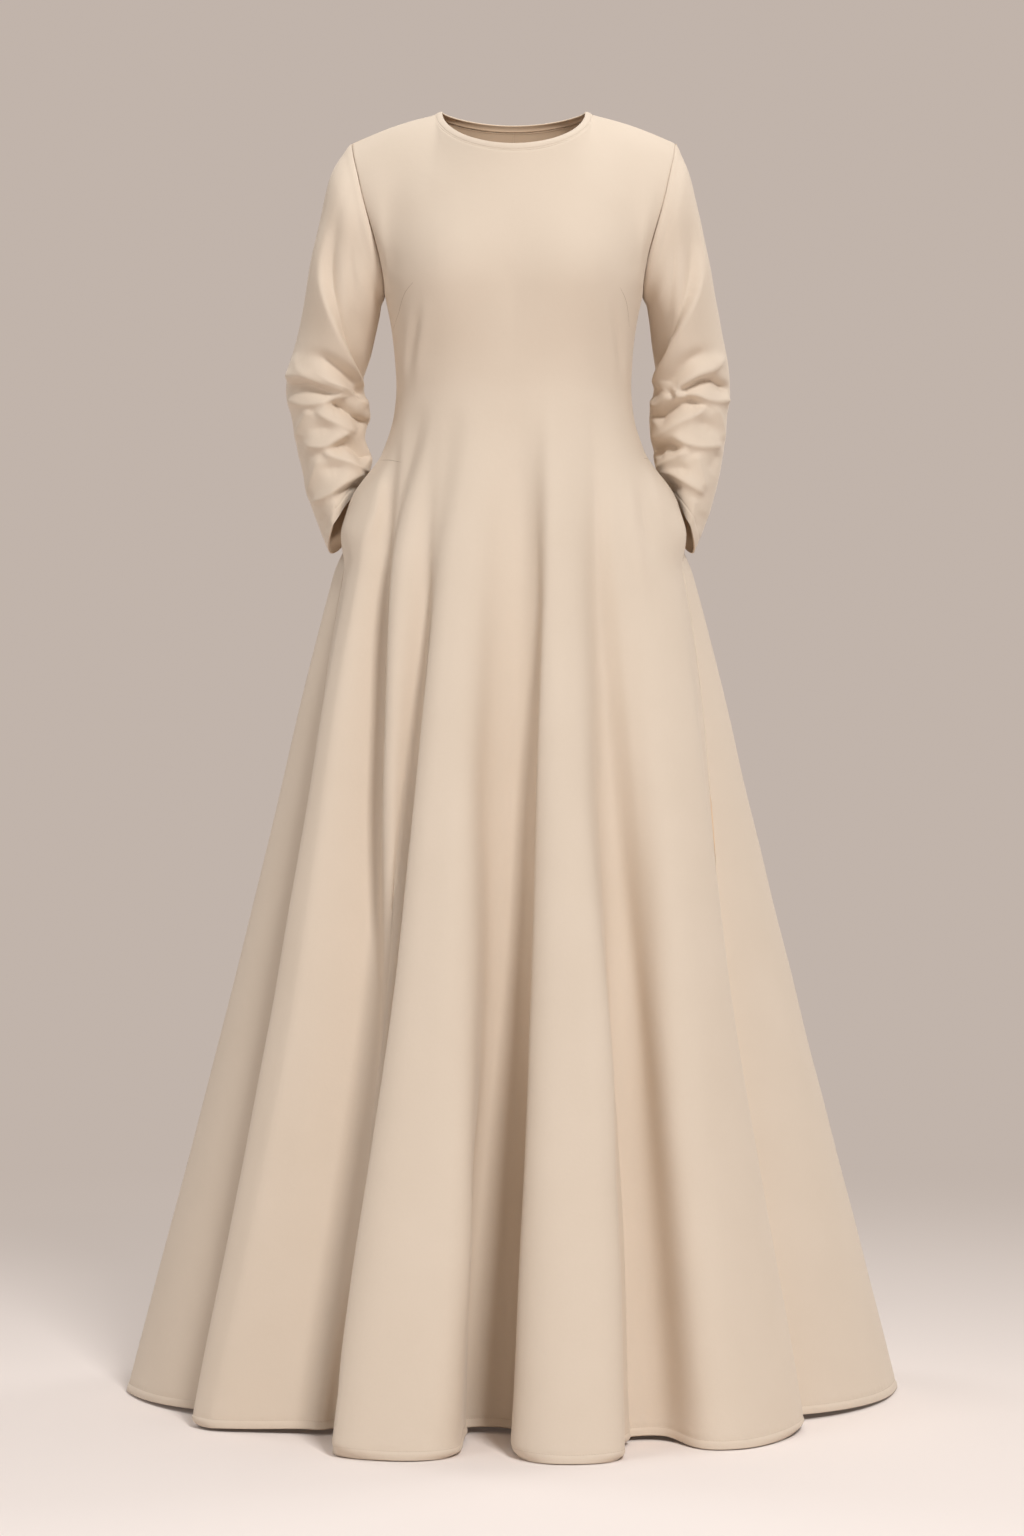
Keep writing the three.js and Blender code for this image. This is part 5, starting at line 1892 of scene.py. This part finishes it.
@dataclass
class Stitching:
    """Rows of small raised stitches along lines on the cloth, joined in one mesh."""

    name: str
    pitch: float = 3.1
    length: float = 2.3
    radius: float = 0.28
    lift: float = 0.5
    sides: int = 5
    runs: list[tuple[Array, Array]] = field(default_factory=list)

    def add(self, points: Array, normals: Array, closed: bool = False) -> None:
        """Adds one line of stitches.

        Args:
            points: The line on the middle of the cloth.
            normals: The outward directions there.
            closed: Whether the line's end meets its start.
        """
        if closed:
            points = np.concatenate([points, points[:1]])
            normals = np.concatenate([normals, normals[:1]])
        self.runs.append((points, normals))

    def stitch_places(self, points: Array, normals: Array) -> tuple[Array, Array, Array]:
        """Spreads stitches evenly along a line.

        Args:
            points: The line.
            normals: Its outward directions.

        Returns:
            The middles of the stitches, the directions along them and the directions outwards.
        """
        gone = np.concatenate([[0.0], np.cumsum(np.linalg.norm(np.diff(points, axis=0), axis=-1))])
        at = np.arange(self.pitch / 2, gone[-1], self.pitch)

        def read(values: Array, where: Array) -> Array:
            """Reads the line's values at lengths along it."""
            return np.stack([np.interp(where, gone, values[:, k]) for k in range(3)], axis=-1)

        outwards = unit(read(normals, at))
        along = unit(read(points, at + self.length / 2) - read(points, at - self.length / 2))
        return read(points, at) + outwards * self.lift, along, outwards

    def build(self, finish: bpy.types.Material) -> None:
        """Builds every stitch as a small rounded bar.

        Args:
            finish: The thread's material.
        """
        angles = np.linspace(0, math.tau, self.sides, endpoint=False)
        profile = ((-1.0, 0.35), (0.0, 1.0), (1.0, 0.35))
        points = []
        faces = []
        for line, normals in self.runs:
            middles, along, outwards = self.stitch_places(line, normals)
            beside = np.cross(along, outwards)
            for middle, ahead, out, across in zip(middles, along, outwards, beside):
                first = len(points) * self.sides * len(profile)
                circle = np.cos(angles)[:, None] * across + np.sin(angles)[:, None] * out
                rings = [
                    middle + ahead * (self.length / 2 * where) + circle * (self.radius * size)
                    for where, size in profile
                ]
                points.append(np.concatenate(rings))
                faces.extend(self.bar_faces(first, len(profile)))
        sew_on(make_object(self.name, np.concatenate(points), faces), finish)
        LOG.info("%s: %d stitches", self.name, len(points))

    def bar_faces(self, first: int, rings: int) -> list[list[int]]:
        """Lists the faces of one stitch.

        Args:
            first: The number of its first point.
            rings: How many rings of points it has.

        Returns:
            The corners of each face.
        """
        faces = []
        for ring in range(rings - 1):
            for k in range(self.sides):
                low = first + ring * self.sides
                after = (k + 1) % self.sides
                faces.append([low + k, low + after, low + self.sides + after, low + self.sides + k])
        end = first + (rings - 1) * self.sides
        faces.append([first + k for k in reversed(range(self.sides))])
        faces.append([end + k for k in range(self.sides)])
        return faces


@dataclass
class SeamLines:
    """Darts and short seams on the front, drawn as fine domed strips in painted seam shade: a deeper tone
    that stands for the shadow in their grooves.
    """

    name: str = "dart_seam_shade_strips"
    width: float = 1.0
    height: float = 0.16

    def trace(self, path: Path, cloth: BVHTree) -> tuple[Array, Array]:
        """Drops a path, seen square from the front, onto the cloth.

        Args:
            path: The (across, height) pairs.
            cloth: The front panel's surface.

        Returns:
            Points and outward directions along it.
        """
        line = Curve(range(len(path)), path)(np.linspace(0, len(path) - 1, 26))
        points = []
        normals = []
        for across, height in line:
            start = Vector(placed(np.array([across, -600.0, height])))
            hit, normal, _, _ = cloth.ray_cast(start, Vector((0, 1, 0)))
            if hit is not None and hit.y < 0:
                points.append(np.array(hit) / METRES + np.array([0, 0, HOLD_HEIGHT]))
                normals.append(np.array(normal))
        return np.array(points), unit(np.array(normals))

    def build(self, front: bpy.types.Object, paths: Sequence[Path], finish: bpy.types.Material) -> None:
        """Builds every line as a narrow domed strip, in painted seam shade.

        Args:
            front: The front panel.
            paths: The lines.
            finish: The painted seam shade's material.
        """
        cloth = BVHTree.FromObject(front, bpy.context.evaluated_depsgraph_get())
        points = []
        faces = []
        first = 0
        for path in paths:
            line, normals = self.trace(path, cloth)
            along = unit(np.gradient(line, axis=0))
            beside = unit(np.cross(along, normals))
            ends = np.sin(np.pi * np.linspace(0.02, 0.98, len(line)))[:, None] ** 0.4
            strip = [
                line - beside * self.width / 2 * ends - normals * 0.1,
                line + normals * self.height,
                line + beside * self.width / 2 * ends - normals * 0.1,
            ]
            points.append(np.concatenate(strip))
            count = len(line)
            for k in range(count - 1):
                for row in (0, 1):
                    a = first + row * count + k
                    faces.append([a, a + 1, a + count + 1, a + count])
            first += 3 * count
        sew_on(make_object(self.name, np.concatenate(points), faces), finish)
        LOG.info("%s: %d lines", self.name, len(paths))


class Lamp(NamedTuple):
    """One soft square light: where it hangs and its side, in metres, and its power in watts."""

    name: str
    place: tuple[float, float, float]
    size: float
    power: float


LAMPS = (
    Lamp("key", (2.2, -5.5, 4.6), 1.4, 420.0),
    Lamp("fill", (-3.8, -3.6, 1.6), 2.2, 46.0),
    Lamp("top", (0.5, 0.9, 3.6), 3.0, 80.0),
    Lamp("right_rim", (3.4, 2.4, 1.6), 1.6, 45.0),
    Lamp("left_rim", (-3.4, 2.4, 1.6), 1.6, 45.0),
)


@dataclass
class Studio:
    """A pale floor, a plain background, soft lights and a level camera. Its lengths are in metres."""

    camera_distance: float = 5.0
    camera_height: float = 0.883
    lens: float = 102.16
    horizon_above_middle: float = 143.0
    middle_right_of_centre: float = 1.75
    picture_height: float = 1536.0
    floor_reach: float = 60.0
    pale_centre: tuple[float, float] = (0.0, -1.2)
    pale_reach: tuple[float, float] = (0.6, 3.4)
    floor_tone: Colour = (0.86, 0.78, 0.74, 1.0)
    # far_tone: the background's tone, also the painted glow of the far floor
    far_tone: Colour = (0.533, 0.455, 0.405, 1.0)
    world_tone: Colour = (1.0, 0.91, 0.82, 1.0)
    world_strength: float = 0.125
    lamp_tone: tuple[float, float, float] = (1.0, 0.99, 0.98)
    lamp_aim: tuple[float, float, float] = (0.0, 0.0, -0.65)

    def camera(self) -> None:
        """Places the level camera, with the shift that the framing needs."""
        data = bpy.data.cameras.new("camera")
        data.lens = self.lens
        data.sensor_width = 36.0
        data.shift_x = -self.middle_right_of_centre / self.picture_height
        data.shift_y = -self.horizon_above_middle / self.picture_height
        data.clip_end = 60.0
        made = bpy.data.objects.new("camera", data)
        made.location = (0.0, -self.camera_distance, self.camera_height - HOLD_HEIGHT * METRES)
        made.rotation_euler = (math.pi / 2, 0.0, 0.0)
        bpy.context.scene.collection.objects.link(made)
        bpy.context.scene.camera = made

    def floor(self) -> None:
        """Lays a wide pale floor under the hem."""
        reach = self.floor_reach
        level = (-HOLD_HEIGHT - 0.8) * METRES
        mesh = bpy.data.meshes.new("floor")
        plan = ((-reach, -reach), (reach, -reach), (reach, reach), (-reach, reach))
        mesh.from_pydata([(*corner, level) for corner in plan], [], [(0, 1, 2, 3)])
        made = bpy.data.objects.new("floor", mesh)
        made.data.materials.append(self.pale_floor_and_painted_glow(level))
        bpy.context.scene.collection.objects.link(made)

    def pale_floor_and_painted_glow(self, level: float) -> bpy.types.Material:
        """Builds the floor's finish: pale round the garment, and far off a painted glow in the background's
        tone that takes the place of the lit floor.

        Args:
            level: The floor's height, in metres.

        Returns:
            The material.
        """
        graph = Graph("floor_pale_and_painted_glow")
        place = graph.signal(graph.node("ShaderNodeTexCoord"), "Object")
        centre = (*self.pale_centre, level)
        away = graph.node("ShaderNodeVectorMath", {"operation": "DISTANCE"}, {0: place, 1: centre})
        start, end = self.pale_reach
        share = graph.signal(
            graph.node(
                "ShaderNodeMapRange",
                {"interpolation_type": "SMOOTHSTEP"},
                {0: graph.signal(away, "Value"), 1: start, 2: end, 3: 0.0, 4: 1.0},
            )
        )
        black = (0.0, 0.0, 0.0, 1.0)
        return graph.close(
            {
                "Base Color": graph.blend(share, self.floor_tone, black),
                "Roughness": 0.9,
                "Specular IOR Level": 0.0,
                # painted glow: far off, the floor is self-lit in the background's tone
                "Emission Color": graph.blend(share, black, self.far_tone),
                "Emission Strength": 1.0,
            }
        )

    def background(self) -> None:
        """Shows the camera a plain background and gives the garment a weak even light."""
        world = bpy.data.worlds.new("studio")
        world.use_nodes = True
        nodes = world.node_tree.nodes
        links = world.node_tree.links
        even = nodes["Background"]
        even.inputs[0].default_value = self.world_tone
        even.inputs[1].default_value = self.world_strength
        seen = nodes.new("ShaderNodeBackground")
        seen.inputs[0].default_value = self.far_tone
        chooser = nodes.new("ShaderNodeMixShader")
        links.new(nodes.new("ShaderNodeLightPath").outputs["Is Camera Ray"], chooser.inputs[0])
        links.new(even.outputs[0], chooser.inputs[1])
        links.new(seen.outputs[0], chooser.inputs[2])
        links.new(chooser.outputs[0], nodes["World Output"].inputs[0])
        bpy.context.scene.world = world

    def light(self, lamp: Lamp) -> None:
        """Hangs one soft square light that faces the garment.

        Args:
            lamp: The light.
        """
        data = bpy.data.lights.new(lamp.name, "AREA")
        data.shape = "SQUARE"
        data.size = lamp.size
        data.energy = lamp.power
        data.color = self.lamp_tone
        made = bpy.data.objects.new(lamp.name, data)
        made.location = lamp.place
        aim = Vector(self.lamp_aim) - Vector(lamp.place)
        made.rotation_euler = aim.to_track_quat("-Z", "Y").to_euler()
        bpy.context.scene.collection.objects.link(made)

    def build(self) -> None:
        """Builds the whole studio."""
        self.camera()
        self.floor()
        self.background()
        for lamp in LAMPS:
            self.light(lamp)
        scene = bpy.context.scene
        scene.view_settings.view_transform = "Standard"
        scene.view_settings.look = "None"


@dataclass
class Abaya:
    """The whole garment, piece by piece."""

    finishes: dict[str, bpy.types.Material] = field(default_factory=dict)

    def panels(self) -> dict[str, Panel]:
        """Lists the three panels of the body."""
        hung = Hold.HUNG
        front = Panel("front_panel", "front", (1.468, 1.506), 1.18, hung, (), creases=FRONT_CREASES)
        left = Panel("back_left_panel", "back_left", (1.089, 1.53), 0.78, hung, ("front_panel",))
        right = Panel("back_right_panel", "back_right", (1.066, 1.528), 0.77, hung, ("front_panel",))
        for panel, folds, seed in ((left, LEFT_BACK_FOLDS, 2), (right, RIGHT_BACK_FOLDS, 3)):
            panel.folds = folds
            panel.facing = Facing.BACK
            panel.creases = BACK_CREASES
            panel.side_sink = 0.9
            panel.seed = seed
        return {"front": front, "left": left, "right": right}

    def sleeves(self) -> dict[str, Sleeve]:
        """Lists the two sleeves."""
        hung = Hold.HUNG
        flat = (0.437, 0.492)
        joined = ("front_panel", "back_left_panel")
        left = Sleeve("left_sleeve", "sleeve_left", flat, 0.113, hung, joined)
        joined = ("front_panel", "back_right_panel")
        right = Sleeve("right_sleeve", "sleeve_right", flat, 0.115, hung, joined)
        left.front_creases = LEFT_SLEEVE_FRONT
        left.back_creases = LEFT_SLEEVE_BACK
        right.side = -1.0
        right.rings = RIGHT_RINGS
        right.front_creases = RIGHT_SLEEVE_FRONT
        right.back_creases = RIGHT_SLEEVE_BACK
        right.seed = 5
        return {"left": left, "right": right}

    def build(self) -> None:
        """Builds every piece and what is sewn on it."""
        for finish in (CREPE, POCKETING, THREAD, SEAM_SHADE):
            self.finishes[finish.name] = finish.make()
        panels = self.panels()
        cloth = {name: panel.build(self.finishes) for name, panel in panels.items()}
        for sleeve in self.sleeves().values():
            sleeve.build(self.finishes)
        joined = ("front_panel", "back_left_panel", "back_right_panel")
        binding = NeckBinding("neck_edge", "neck_binding", (0.66, 0.0105), 0.0057, Hold.STRETCHED, joined)
        neck = binding.build(self.finishes)
        for name, side in (("left", 1.0), ("right", -1.0)):
            named = (f"{name}_pocket_bag", f"pocket_{name}")
            bag = PocketBag(*named, (0.3, 0.17), 0.041, Hold.FOLDED, ("front_panel",))
            bag.side = side
            bag.front = panels["front"]
            bag.back = panels[name]
            bag.build(self.finishes)
        self.sew(panels, cloth, neck)

    def sew(self, panels: dict[str, Panel], cloth: dict[str, Surface], neck: Surface) -> None:
        """Sews the hem, the neck and the pocket mouths, and draws the darts and pocket-top seams as strips
        of painted seam shade.

        Args:
            panels: The body's panels.
            cloth: Their surfaces.
            neck: The binding's surface.
        """
        thread = self.finishes[THREAD.name]
        hem = Stitching("hem_stitches", lift=0.75)
        for name, panel in panels.items():
            hem.add(cloth[name].points[panel.hem_row], cloth[name].normals[panel.hem_row])
        hem.build(thread)
        collar = Stitching("neck_stitches", pitch=2.6, length=1.9, radius=0.24, lift=0.9)
        collar.add(neck.points[7], neck.normals[7], closed=True)
        collar.build(thread)
        mouths = Stitching("pocket_stitches", pitch=2.8, length=2.1, lift=0.5)
        for last in (False, True):
            for away in (2.2, 8.5):
                low = FORM.mouth_bottom - 2
                high = FORM.mouth_top - 2
                mouths.add(*cloth["front"].line_along_side(last, away, low, high))
        mouths.build(thread)
        front = bpy.data.objects["front_panel"]
        # the darts and pocket-top seams are drawn as strips of painted seam shade
        SeamLines().build(front, (*DARTS, *POCKET_TOP_SEAMS), self.finishes[SEAM_SHADE.name])


def main() -> None:
    """Builds the garment and its studio."""
    logging.basicConfig(level=logging.INFO, format="%(name)s %(message)s")
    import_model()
    Studio().build()
    Abaya().build()


if __name__ == "__main__":
    main()
